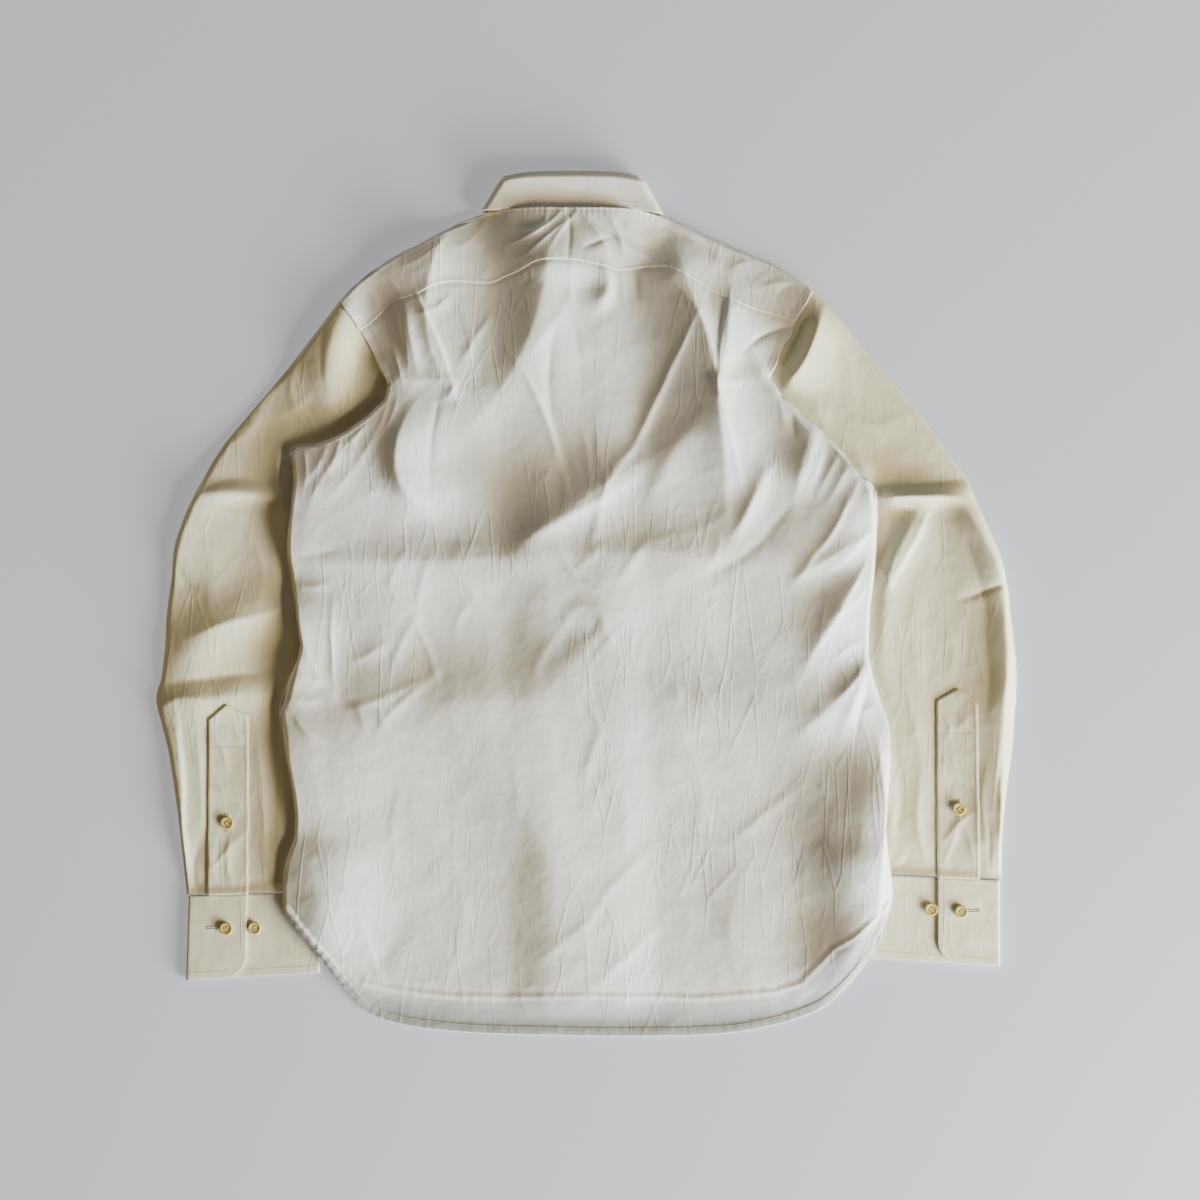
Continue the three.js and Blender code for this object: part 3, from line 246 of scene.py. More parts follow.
BACK_CREASES = creases([
    # pleats under the yoke, one side lapped over the other
    (-150, 276, -131, 236, -119, 198, 1.8, 1.6, 16), (-122, 205, -117, 196, -121, 186, 1.2, 5, 3),
    (128, 272, 121, 240, 117, 205, 1.6, 12, 1.6), (117, 206, 117, 190, 123, 178, 1.4, 5, 3),
    (123, 178, 131, 140, 138, 107, 0.9, 2.2, 3), (117, 278, 116, 255, 116, 234, 0.5, 2, 3),
    (121, 198, 130, 197, 139, 199, 0.5, 2, 2),
    # upper back
    (-57, 209, -33, 160, -19, 107, 1.5, 3, 5), (-27, 247, -33, 200, -30, 166, -1.2, 6, 5),
    (-30, 166, -24, 135, -21, 103, -0.8, 5, 4), (-131, 184, -137, 145, -139, 107, -0.9, 3, 4),
    (-17, 268, -31, 245, -47, 226, 0.8, 5, 7), (94, 247, 74, 203, 40, 137, 1.6, 3, 4),
    (40, 137, 20, 110, 12, 76, 1.3, 3, 4), (12, 78, 9, 64, 5, 50, 0.7, 3, 3),
    (42, 113, 2, 88, -50, 60, 1.2, 4, 5), (67, 296, 90, 274, 116, 203, 1.2, 6, 8),
    (143, 229, 162, 241, 186, 248, -1.6, 3, 4), (147, 226, 160, 208, 172, 193, 1.2, 3, 5),
    (184, 170, 185, 158, 186, 148, -1.2, 4, 4), (170, 190, 174, 176, 176, 160, 0.8, 4, 4),
    (-12, 304, -14, 282, -12, 262, 0.6, 3, 4), (33, 300, 34, 284, 35, 268, 0.7, 3, 5),
    (44, 302, 46, 286, 47, 272, -0.8, 5, 6), (-110, 262, -103, 232, -111, 203, 0.5, 5, 6),
    (-148, 258, -137, 262, -120, 276, 0.8, 3, 4), (-85, 256, -98, 238, -111, 216, 0.8, 3, 4),
    (-165, 262, -160, 232, -158, 214, 1.0, 3, 4), (-171, 225, -166, 209, -163, 200, 1.0, 3, 4),
    (-13, 258, -6, 224, -4, 196, -0.4, 5, 6), (10, 158, 12, 131, 17, 108, 0.5, 3, 3),
    (-2, 153, 2, 130, 5, 110, 0.5, 3, 3), (62, 190, 52, 165, 46, 150, 0.4, 4, 5),
    # left underarm
    (-205, 150, -228, 122, -246, 86, 0.7, 4, 5), (-178, 176, -190, 146, -215, 112, 0.7, 4, 5),
    (-230, 143, -236, 128, -246, 112, 0.8, 3, 4), (-220, 148, -223, 134, -228, 122, 0.7, 3, 3),
    (-250, 138, -248, 124, -250, 104, 0.7, 3, 4), (-196, 158, -206, 146, -212, 128, 0.6, 3, 3),
    (-168, 184, -172, 170, -180, 156, 0.7, 3, 4), (-211, 115, -217, 107, -226, 97, 0.4, 3, 3),
    # right underarm and side
    (200, 152, 192, 122, 186, 92, 0.8, 4, 5), (213, 146, 207, 124, 197, 100, 0.8, 3, 4),
    (224, 134, 216, 116, 207, 98, 0.8, 3, 4), (233, 126, 226, 108, 214, 90, 0.8, 3, 4),
    (243, 112, 238, 98, 230, 84, 0.8, 3, 4), (232, 90, 218, 60, 203, 42, 1.2, 2.5, 4),
    (203, 42, 195, 30, 186, 20, 0.8, 3, 4), (252, 66, 236, 46, 218, 30, 1.0, 3, 5),
    (252, 40, 235, 8, 205, -40, 1.2, 4, 5), (253, 20, 240, 2, 222, -10, 0.8, 3, 4),
    (252, -46, 240, -66, 226, -84, 1.0, 3, 4), (253, -68, 248, -90, 243, -112, -1.2, 4, 4),
    (262, -90, 250, -96, 236, -98, 0.7, 4, 4), (250, -32, 236, -38, 222, -50, 0.7, 3, 4),
    (186, 92, 156, 56, 103, 22, -0.9, 5, 6), (154, 107, 145, 86, 135, 67, 0.8, 3, 4),
    (36, 26, 60, 56, 85, 63, 0.35, 3, 4), (85, 63, 108, 70, 126, 83, 0.3, 3, 4),
    (166, 124, 158, 108, 156, 92, 0.6, 4, 4), (120, 60, 118, 46, 108, 34, 0.5, 3, 4),
    # left waist
    (-225, -5, -226, -36, -224, -70, 1.0, 3, 4), (-263, 20, -246, 16, -226, 20, 0.7, 4, 4),
    (-262, 42, -240, 44, -216, 50, -0.7, 5, 6), (-258, -58, -244, -66, -232, -70, 0.8, 3, 4),
    (-268, -80, -254, -86, -238, -84, 0.8, 4, 4), (-256, -30, -246, -50, -236, -64, 0.7, 3, 4),
    (-223, -80, -214, -88, -206, -90, -1.0, 5, 5),
    # fine crinkles over the lower back
    (-162, 46, -170, 30, -176, 13, 0.5, 3, 3), (-138, 42, -146, 20, -150, -4, 0.6, 3, 3),
    (-172, 9, -160, -4, -146, -14, 0.5, 3, 3), (-116, 22, -103, 12, -93, -2, 0.5, 3, 3),
    (-104, 2, -112, -12, -116, -24, 0.5, 3, 3), (-152, -14, -163, -32, -172, -53, 0.7, 3, 3),
    (-153, -16, -142, -40, -134, -62, 0.6, 3, 3), (-176, -33, -192, -44, -207, -51, 0.7, 3, 3),
    (-134, -64, -158, -83, -180, -106, 0.7, 3, 3), (-137, -62, -172, -80, -206, -92, 0.7, 3, 3),
    (-183, -94, -181, -103, -178, -112, 0.5, 3, 3), (-203, -95, -199, -104, -194, -112, 0.5, 3, 3),
    (-259, -101, -250, -113, -238, -123, 0.8, 3, 3), (-27, 51, -18, 38, -8, 23, 0.6, 3, 3),
    (-8, 23, 8, 14, 20, 2, 0.6, 3, 3), (-8, 30, 4, 42, 18, 53, 0.6, 3, 3),
    (57, 62, 44, 43, 32, 22, 0.6, 3, 3), (79, -72, 82, -79, 82, -86, 0.5, 3, 3),
    (98, -80, 106, -87, 114, -95, 0.5, 3, 3), (59, -41, 60, -60, 63, -80, 0.3, 3, 3),
    (2, -90, 9, -101, 14, -113, 0.6, 3, 3), (14, -113, 6, -134, -1, -157, 0.7, 3, 3),
    (193, -160, 166, -184, 135, -210, 0.6, 4, 4), (60, -219, 30, -248, 4, -282, 0.6, 4, 4),
    (4, -282, -18, -302, -41, -320, 0.5, 4, 4), (17, -334, 38, -316, 58, -293, 0.6, 4, 4),
    (-70, -120, -60, -160, -64, -200, 0.3, 5, 6), (-160, -150, -172, -200, -170, -240, 0.4, 6, 7),
    (-120, -230, -110, -290, -124, -340, 0.4, 7, 7), (90, -130, 104, -170, 96, -220, 0.4, 6, 7),
    (140, -250, 130, -300, 140, -345, 0.4, 7, 7), (-200, -285, -190, -320, -180, -345, 0.5, 6, 6),
    # knot at the waist's centre
    (-18, -19, -12, -6, 0, -2, 0.4, 3, 4), (0, -2, 12, -6, 17, -18, 0.4, 3, 4),
    (17, -18, 10, -30, -2, -34, 0.4, 3, 4), (-12, -14, -4, -24, 8, -22, -0.3, 4, 4),
    (13, -14, 20, -24, 26, -37, 0.9, 4, 5), (-18, -22, -34, -40, -46, -62, 0.6, 4, 5),
    # hem corners
    (232, -338, 246, -318, 256, -294, 0.9, 3, 5), (-236, -318, -222, -338, -206, -354, 0.6, 4, 4),
])
YOKE_CREASES = creases([
    (-67, 337, -52, 330, -33, 348, 1.1, 3, 4), (-62, 322, -44, 330, -20, 350, 1.2, 3, 4),
    (-50, 312, -38, 322, -18, 340, 0.9, 3, 3), (-8, 348, -20, 334, -30, 318, 0.8, 3, 3),
    (-6, 346, 10, 332, 20, 312, 1.3, 4, 5), (4, 342, 22, 330, 30, 316, -0.9, 4, 4),
    (20, 348, 30, 330, 34, 312, 0.9, 3, 4), (28, 326, 42, 316, 58, 306, 1.0, 3, 4),
    (0, 318, 10, 322, 20, 326, -0.8, 3, 3), (-14, 350, -14, 330, -15, 308, -0.7, 1.6, 1.6),
    (36, 340, 44, 330, 56, 322, 0.7, 4, 5), (-90, 345, -100, 330, -118, 318, 0.5, 6, 8),
    (-122, 330, -140, 312, -166, 300, 0.6, 7, 8), (70, 340, 96, 326, 124, 312, -0.5, 6, 8),
    (112, 300, 118, 312, 120, 324, 0.5, 5, 6), (130, 300, 140, 306, 156, 308, 0.5, 5, 6),
    (152, 282, 168, 286, 186, 290, 0.5, 5, 6), (170, 272, 176, 282, 190, 288, -0.5, 4, 5),
    (-200, 286, -190, 276, -186, 262, 0.6, 5, 6), (-182, 296, -170, 284, -166, 276, 0.5, 5, 6),
])
SLEEVE_CREASES = {
    "left": creases([
        (-234, 250, -236, 220, -232, 186, -1.2, 7, 9), (-262, 210, -264, 190, -258, 170, 0.9, 6, 7),
        (-290, 176, -300, 158, -318, 144, 0.8, 6, 7), (-342, 103, -318, 111, -276, 105, -1.2, 5, 5),
        (-330, 96, -300, 96, -268, 91, 1.0, 2.5, 3), (-350, 92, -326, 84, -300, 78, 0.8, 5, 6),
        (-366, 38, -362, 24, -352, 12, -1.2, 6, 7), (-347, -26, -310, -14, -266, -4, 1.0, 4, 5),
        (-378, -74, -340, -68, -287, -62, -1.6, 5, 6), (-380, -92, -362, -84, -340, -84, 1.2, 4, 5),
        (-366, -106, -361, -176, -358, -258, 1.7, 1.6, 14), (-348, -110, -346, -150, -344, -200, 0.8, 5, 6),
        (-346, -215, -352, -236, -350, -256, -0.9, 5, 6), (-296, -110, -290, -160, -288, -230, 0.9, 6, 9),
        (-280, -92, -276, -140, -278, -180, -0.7, 8, 8), (-300, 60, -290, 30, -292, 0, 0.7, 9, 12),
        (-330, 50, -336, 20, -332, -10, 0.6, 9, 10), (-246, 190, -262, 176, -284, 168, 0.6, 6, 8),
        (-272, 141, -275, 112, -269, 78, 1.8, 2.5, 7), (-272, 134, -268, 128, -264, 126, 0.9, 3, 3),
        (-300, -248, -286, -250, -270, -252, -0.7, 4, 4),
    ]),
    "right": creases([
        (213, 269, 196, 220, 178, 193, 1.3, 5, 6), (197, 262, 188, 240, 178, 224, 0.9, 3, 3),
        (226, 240, 236, 216, 240, 190, 0.6, 8, 9), (236, 176, 262, 160, 282, 166, 0.6, 8, 9),
        (258, 107, 300, 107, 340, 112, -1.6, 6, 6), (262, 96, 300, 95, 326, 94, 1.4, 3, 3.5),
        (326, 94, 346, 72, 364, 42, 1.0, 5, 6), (283, 88, 298, 87, 308, 79, 0.9, 2.5, 3),
        (307, 82, 292, 52, 275, 22, 1.8, 1.6, 8), (262, 34, 270, 24, 275, 14, 1.6, 2, 3),
        (328, 76, 350, 31, 359, -37, -1.3, 8, 9), (359, -37, 361, -66, 359, -93, -1.0, 7, 8),
        (377, 20, 358, 12, 337, 4, -1.2, 3, 4), (374, -136, 371, -200, 371, -246, 1.7, 12, 1.6),
        (300, 20, 296, -30, 300, -80, 0.6, 9, 10), (286, -70, 296, -110, 302, -150, 0.8, 8, 9),
        (302, -150, 298, -190, 306, -232, 1.2, 6, 9), (276, -130, 284, -170, 280, -210, -0.7, 8, 9),
        (358, -150, 356, -180, 360, -216, 0.8, 5, 5), (360, -196, 362, -220, 364, -240, -0.8, 4, 4),
        (322, -20, 330, -40, 326, -64, 0.6, 8, 8), (290, -228, 280, -236, 270, -240, -0.6, 4, 5),
    ]),
}
PLACKET_CREASES = {
    "left": creases([
        (-334, -118, -326, -130, -322, -146, 0.5, 3, 4), (-316, -104, -312, -118, -306, -126, 0.4, 3, 4),
        (-332, -160, -322, -170, -310, -176, 0.5, 4, 4), (-334, -236, -322, -222, -308, -206, 0.6, 4, 4),
        (-318, -212, -320, -232, -316, -254, 0.6, 3, 4), (-330, -206, -334, -222, -332, -246, 0.4, 3, 4),
    ]),
    "right": creases([
        (322, -100, 326, -108, 326, -118, 0.5, 3, 3), (336, -98, 342, -108, 348, -112, 0.4, 3, 3),
        (322, -140, 332, -152, 346, -160, 0.5, 4, 4), (322, -214, 332, -198, 346, -188, 0.7, 3, 4),
        (334, -196, 328, -216, 322, -238, 0.6, 3, 4), (338, -196, 344, -214, 348, -232, 0.5, 3, 4),
    ]),
}


# ------------------------------------------------------------------ small maths
def clamp(t):
    return np.clip(t, 0.0, 1.0)


def smooth(t):
    t = clamp(t)
    return t * t * (3 - 2 * t)


def lerp(a, b, t):
    return a + (b - a) * t


def ripple(x, y, size, seed):
    """A smooth random field from about -1 to 1, with bumps of that size."""
    rng = np.random.RandomState(seed)
    turn = rng.uniform(0, 2 * math.pi, (64, 64))
    u, v = np.asarray(x) / size + 500.0, np.asarray(y) / size + 500.0
    i, j = np.floor(u).astype(int), np.floor(v).astype(int)
    f, g = u - i, v - j

    def corner(di, dj):
        angle = turn[(i + di) % 64, (j + dj) % 64]
        return np.cos(angle) * (f - di) + np.sin(angle) * (g - dj)

    s, t = f**3 * (f * (6 * f - 15) + 10), g**3 * (g * (6 * g - 15) + 10)
    low = lerp(corner(0, 0), corner(1, 0), s)
    high = lerp(corner(0, 1), corner(1, 1), s)
    return 1.5 * lerp(low, high, t)


def flow(points, count):
    """count points along a smooth curve through those given, evenly spaced."""
    p = np.array(points, float)
    chord = np.sqrt(np.hypot(*np.diff(p, axis=0).T))
    knots = np.concatenate([[0], np.cumsum(chord)])
    slope = np.gradient(p, knots, axis=0, edge_order=1)
    fine = np.linspace(0, knots[-1], 40 * len(p))
    k = np.clip(np.searchsorted(knots, fine, side="right") - 1, 0, len(p) - 2)
    h = (knots[k + 1] - knots[k])[:, None]
    t = ((fine - knots[k])[:, None]) / h
    curve = (
        (2 * t**3 - 3 * t**2 + 1) * p[k] + (t**3 - 2 * t**2 + t) * h * slope[k]
        + (3 * t**2 - 2 * t**3) * p[k + 1] + (t**3 - t**2) * h * slope[k + 1]
    )
    run = np.concatenate([[0], np.cumsum(np.hypot(*np.diff(curve, axis=0).T))])
    shares = count if hasattr(count, "__len__") else np.linspace(0, 1, count)
    at = np.asarray(shares) * run[-1]
    return np.stack([np.interp(at, run, curve[:, 0]), np.interp(at, run, curve[:, 1])], axis=1)


def patch(top, bottom, left, right, us, vs):
    """Plan of a four-sided panel: its points by row from top to bottom and by column from left to right."""
    t, b, l, r = (flow(edge, us if i < 2 else vs) for i, edge in enumerate((top, bottom, left, right)))
    u, v = np.asarray(us)[None, :, None], np.asarray(vs)[:, None, None]
    corners = lerp(lerp(t[0], t[-1], u), lerp(b[0], b[-1], u), v)
    return lerp(t[None], b[None], v) + lerp(l[:, None], r[:, None], u) - corners


def nearest(x, y, line):
    """Distance of points from a line, and how far along it their nearest place is."""
    best, where, before = np.full(np.shape(x), 1e9), np.zeros(np.shape(x)), 0.0
    for (ax, ay), (bx, by) in zip(line[:-1], line[1:]):
        length = max(math.hypot(bx - ax, by - ay), 1e-6)
        share = clamp(((x - ax) * (bx - ax) + (y - ay) * (by - ay)) / length**2)
        distance = np.hypot(x - lerp(ax, bx, share), y - lerp(ay, by, share))
        where = np.where(distance < best, before + share * length, where)
        best = np.minimum(best, distance)
        before += length
    return best, where


def to_line(x, y, line):
    return nearest(x, y, line)[0]


def fold_height(fold, x, y, power):
    """What one fold adds: full along its line through three points, falling off to each side and at its ends."""
    (ax, ay), (mx, my), (bx, by) = ((fold[f"x{k}"], fold[f"y{k}"]) for k in (1, 2, 3))
    run = math.hypot(bx - ax, by - ay)
    ux, uy = (bx - ax) / run, (by - ay) / run
    reach = 4.5 * max(fold["left"], fold["right"]) + 0.3 * run
    low, high = np.minimum((ax, ay), (bx, by)) - reach, np.maximum((ax, ay), (bx, by)) + reach
    near = (x > low[0]) & (x < high[0]) & (y > low[1]) & (y < high[1])
    total = np.zeros(np.shape(x))
    px, py = x[near] - ax, y[near] - ay
    if not px.size:
        return total
    middle = clamp(((mx - ax) * ux + (my - ay) * uy) / run)
    bow = ((my - ay) * ux - (mx - ax) * uy) / max(middle * (1 - middle), 0.1)
    along = (px * ux + py * uy) / run
    lean = bow * (1 - 2 * along) / run
    side = (py * ux - px * uy - bow * along * (1 - along)) / np.sqrt(1 + lean**2)
    width = np.where(side > 0, fold["left"], fold["right"])
    ends = np.exp(-0.9 * np.abs(2 * along - 1) ** 3)
    total[near] = fold["height"] * ends * np.exp(-((np.abs(side) / width) ** power))
    return total


def creased(rows, x, y):
    wx, wy = 1.6 * ripple(x, y, 38, 11), 1.6 * ripple(x, y, 38, 12)
    return CREASE_GAIN * sum(fold_height(row, x + wx, y + wy, CREASE_POWER) for row in rows)


def crumple(x, y, seed):
    """Slack cloth's own small unevenness: flat facets that meet in soft lines."""
    wide = ripple(x, y, 62, seed)
    facets = 1 - np.abs(ripple(x + 9 * wide, y, 38, seed + 1)) * 2
    fine = 1 - np.abs(ripple(x + 3 * wide, y + 6 * wide, 17, seed + 2)) * 2
    where = smooth(0.5 + 0.9 * ripple(x, y, 90, seed + 3))
    return 0.5 * wide + 0.3 * facets * where + 0.05 * fine * (0.3 + where)


# ------------------------------------------------------------------ how high the cloth lies
LEFT_FOLD = LEFT_SIDE[4:]
RIGHT_FOLD = RIGHT_SIDE[4:]
FOLDED_EDGES = [SHOULDER["left"], LEFT_FOLD, BACK_HEM, RIGHT_FOLD, SHOULDER["right"]]


def centre_x(y):
    return lerp(-14, 0, clamp((300 - y) / 688))


def from_centre(x, y):
    return np.abs(x - centre_x(y))


def sleeve_lift(x, y):
    heights = [row["y"] for row in TUCK][::-1]
    left = np.interp(y, heights, [row["left"] for row in TUCK][::-1])
    right = np.interp(y, heights, [row["right"] for row in TUCK][::-1])
    inner = np.where(x < 0, left, right) - 3
    height = SLEEVE_LIFT + CUFF_LIFT * smooth((-205 - y) / 25)
    return height * smooth((np.abs(x) - inner + LIFT_RUN) / LIFT_RUN) * smooth((y + 375) / 35)


def near_placket(x, y):
    return smooth((72 - from_centre(x, y)) / 50)


def placket_lift(x, y):
    return PLACKET_LIFT * near_placket(x, y)


def overlap_lift(x, y):
    return (CLOTH + SEAM_GAP + 0.1) * near_placket(x, y)


def collar_lift(x, y):
    return LEAF_LIFT * smooth((128 - np.abs(x - COLLAR["centre"])) / 36) * smooth((y - 190) / 68)


def neck_lift(x, y):
    away = ((x - COLLAR["centre"]) / 86) ** 2 + ((y - COLLAR["seam_y"]) / 70) ** 2
    return NECK_LIFT * smooth(1.15 - away)


def front_base(x, y):
    return sleeve_lift(x, y) + placket_lift(x, y) + collar_lift(x, y)


def edge_distance(x, y):
    return np.minimum.reduce([to_line(x, y, edge) for edge in FOLDED_EDGES])


def relief(x, y):
    wx, wy = 2.4 * ripple(x, y, 52, 21), 2.4 * ripple(x, y, 52, 22)
    return sum(fold_height(fold, x + wx, y + wy, fold["power"]) for fold in FOLDS)


def front_hem_y(x):
    return np.interp(x, [p[0] for p in FRONT_HEM], [p[1] for p in FRONT_HEM])


def past_front_hem(x, y):
    """1 where the front lies under the back, 0 below the front's hem."""
    return smooth((y - front_hem_y(x) + 14) / 16)


def back_top(x, y, creases):
    """The outer face of the back and the yoke."""
    edge = edge_distance(x, y)
    slack = lerp(EDGE_AIR, AIR, smooth(edge / 25))
    centre = placket_lift(x, y) + overlap_lift(x, y) + collar_lift(x, y) + neck_lift(x, y)
    on_fronts = (centre + CLOTH + SEAM_GAP + slack) * smooth((y - front_hem_y(x) + 24) / 20)
    roll = np.sqrt(1 - (1 - clamp(edge / 3)) ** 2)
    free = smooth(edge / 9)
    under_collar = smooth(to_line(x, y, NECK_TOP) / 60)
    form = np.maximum(relief(x, y) * under_collar + crumple(x, y, 31), 0.05)
    small = creased(creases, x, y)
    return sleeve_lift(x, y) + on_fronts + CLOTH + form * roll + small * free


def sleeve_top(side, x, y, outer, creases, inner_edge):
    """The outer face of a flattened sleeve, which the body's weight keeps flat near its edge."""
    cover = np.minimum(to_line(x, y, LEFT_FOLD), to_line(x, y, RIGHT_FOLD))
    free = smooth((cover - 3) / 14) * (1 - inner_edge)
    sign = -1 if side == "left" else 1
    roll = np.sqrt(1 - (1 - clamp(to_line(x, y, outer) / 4)) ** 2)
    form = np.maximum(relief(x, y) + 0.8 * crumple(x, y, 57 + sign), 0)
    small = creased(creases, x, y) * (1 - inner_edge) * smooth(cover / 5)
    return FLAT_SLEEVE + (form * free + small) * roll


# ------------------------------------------------------------------ meshes
def linked(name, data):
    obj = bpy.data.objects.new(name, data)
    bpy.context.scene.collection.objects.link(obj)
    return obj


def add_mesh(name, points, faces):
    """A smooth-shaded mesh from points in millimetres."""
    mesh = bpy.data.meshes.new(name)
    mesh.from_pydata((np.asarray(points) * MM).tolist(), [], [tuple(face) for face in faces])
    mesh.polygons.foreach_set("use_smooth", [True] * len(mesh.polygons))
    mesh.update()
    return linked(name, mesh)


def quads(rows, columns, closed=False):
    """Faces of a grid of points, row by row, whose rows may close on themselves."""
    j, i = np.meshgrid(np.arange(rows - 1), np.arange(columns if closed else columns - 1), indexing="ij")
    j, i = j.ravel(), i.ravel()
    k = (i + 1) % columns
    return np.stack([j * columns + i, (j + 1) * columns + i, (j + 1) * columns + k, j * columns + k], axis=1)


def rim_of(rows, columns):
    """Indices round the border of a grid, clockwise seen from above."""
    at = np.arange(rows * columns).reshape(rows, columns)
    return np.concatenate([at[0], at[1:, -1], at[-1, -2::-1], at[-2:0:-1, 0]])


def shell(name, plan, z, drop, inward=2.0):
    """A skin of cloth over a plan, its border turned under by a drop and then inwards."""
    rows, columns = z.shape
    points = np.concatenate([plan.reshape(-1, 2), z.reshape(-1, 1)], axis=1)
    rim = rim_of(rows, columns)
    border = points[rim]
    along = np.roll(border[:, :2], -1, axis=0) - np.roll(border[:, :2], 1, axis=0)
    along /= np.maximum(np.hypot(along[:, 0], along[:, 1])[:, None], 1e-9)
    out = np.stack([-along[:, 1], along[:, 0]], axis=1)
    drop = np.broadcast_to(drop, border.shape[:1])
    inward = np.broadcast_to(inward, border.shape[:1])
    reach = np.minimum(drop / 2, 1.5)
    rings = []
    for angle in (35, 70, 110, 145, 180):
        turn = math.radians(angle)
        plan_out = border[:, :2] + out * (reach * math.sin(turn))[:, None]
        rings.append(np.column_stack([plan_out, border[:, 2] - drop / 2 * (1 - math.cos(turn))]))
    rings.append(np.column_stack([border[:, :2] - out * inward[:, None], border[:, 2] - drop]))
    count, size = len(rim), rows * columns
    faces = [quads(rows, columns)]
    previous = rim
    for k in range(len(rings)):
        ring = size + k * count + np.arange(count)
        faces.append(np.stack([previous, np.roll(previous, -1), np.roll(ring, -1), ring], axis=1))
        previous = ring
    return add_mesh(name, np.concatenate([points, *rings]), np.concatenate(faces).tolist())


def flat_tube(name, rings):
    """A tube from rings of points, all with the same number, facing out."""
    rings = np.asarray(rings)
    stations, around = rings.shape[:2]
    return add_mesh(name, rings.reshape(-1, 3), quads(stations, around, closed=True).tolist())


def baked(obj):
    """The same object with its modifiers worked into its mesh."""
    graph = bpy.context.evaluated_depsgraph_get()
    mesh = bpy.data.meshes.new_from_object(obj.evaluated_get(graph))
    obj.modifiers.clear()
    old, obj.data = obj.data, mesh
    mesh.name = obj.name
    bpy.data.meshes.remove(old)
    mesh.polygons.foreach_set("use_smooth", [True] * len(mesh.polygons))
    return obj


def thick(obj, ply, edge=0.45):
    """Gives a middle surface its ply and rounds its edges."""
    solid = obj.modifiers.new("Ply", "SOLIDIFY")
    solid.thickness, solid.offset, solid.use_even_offset = ply * MM, 0, True
    bevel = obj.modifiers.new("Edge", "BEVEL")
    bevel.width, bevel.segments, bevel.limit_method, bevel.angle_limit = edge * MM, 2, "ANGLE", math.radians(55)
    return baked(obj)


def mark(obj, name, values):
    """A number at each vertex, for the material."""
    attribute = obj.data.attributes.new(name, "FLOAT", "POINT")
    padded_values = np.zeros(len(obj.data.vertices), np.float32)
    padded_values[: len(values)] = values
    attribute.data.foreach_set("value", padded_values)


# ------------------------------------------------------------------ seams that the top skins follow
def seam_marks(x, y, line, stitch_at, pucker, pitch, reach, seed):
    """A stitched line's groove, and the puckers that its thread draws up across it."""
    away, run = nearest(x, y, line)
    phase = 2 * math.pi * run / pitch + 2.2 * ripple(run, 0 * run, 4 * pitch, seed)
    waves = pucker * np.sin(phase) * (0.7 + 0.6 * ripple(run, 0 * run + 9, 3 * pitch, seed + 1))
    return waves * np.exp(-((away / reach) ** 2)) - 0.2 * np.exp(-(((away - stitch_at) / 1.1) ** 2))


def hem_form(x, y):
    """The narrow rolled hem's extra ply and its puckers."""
    away = to_line(x, y, BACK_HEM)
    ply = 0.55 * smooth((HEM_WIDTH + 0.7 - away) / 1.4)
    return ply + seam_marks(x, y, BACK_HEM, HEM_WIDTH, 0.22, 8.5, 9, 71)


def backing_form(x, y):
    """The front's hem felt through the back."""
    away = to_line(x, y, FRONT_HEM)
    return 0.7 * np.exp(-((away / 1.6) ** 2)) + seam_marks(x, y, FRONT_HEM, 5, 0.12, 9, 10, 75)


CENTRE_LINE = [(-14, 352), (-15, 306)]


def yoke_form(x, y):
    seam = seam_marks(x, y, YOKE_SEAM, 1.8, 0.1, 7.5, 6, 81)
    centre = seam_marks(x, y, CENTRE_LINE, 1.6, 0.12, 7, 5, 85)
    neck = seam_marks(x, y, NECK_TOP, 2.0, 0.22, 5.2, 6, 87)
    armhole = sum(seam_marks(x, y, ARMHOLE[side][:3], 6.5, 0.1, 9, 7, 89) for side in SIDES)
    return seam + centre + neck + armhole


def back_surface(x, y):
    return back_top(x, y, BACK_CREASES) + hem_form(x, y) + backing_form(x, y)


def yoke_surface(x, y):
    near_seam = smooth(1 - to_line(x, y, YOKE_SEAM) / 6)
    return back_top(x, y, YOKE_CREASES) + yoke_form(x, y) + 0.3 * near_seam


# ------------------------------------------------------------------ pieces of the body
def steps(count, ends=0.0):
    """Shares from 0 to 1, closer together at the ends."""
    t = np.linspace(0, 1, count)
    return t - ends * np.sin(2 * math.pi * t) / (2 * math.pi)


def make_back():
    columns, rows = steps(276, 0.35), steps(318, 0.2)
    top = [(x, y + 1.6) for x, y in YOKE_SEAM]
    left = [top[0]] + LEFT_SIDE[1:]
    right = [top[-1]] + RIGHT_SIDE[1:]
    plan = patch(top, BACK_HEM, left, right, columns, rows)
    x, y = plan[..., 0], plan[..., 1]
    under_yoke = smooth(1 - (to_line(x, y, YOKE_SEAM) + np.where(y > 240, 0, 90)) / 4)
    z = back_surface(x, y) - 0.75 * under_yoke
    z += seam_marks(x, y, YOKE_SEAM, 3, 0.1, 7.5, 9, 81)
    for side in SIDES:
        z += seam_marks(x, y, ARMHOLE[side][1:5], 6.5, 0.1, 9, 7, 89)
    z = np.maximum(z, CLOTH)
    rim = rim_of(*z.shape)
    by = y.ravel()[rim]
    on_hem = smooth((-262 - by) / 12)
    drop = lerp(lerp(2.5, 1.1, smooth((by - 205) / 20)), 1.25, on_hem)
    drop = np.minimum(drop, z.ravel()[rim] - 0.1)
    obj = shell("back_cloth", plan, z, drop, lerp(4.0, 6.0, on_hem))
    mark(obj, "single_ply", (1 - past_front_hem(x, y)).ravel())
    return obj


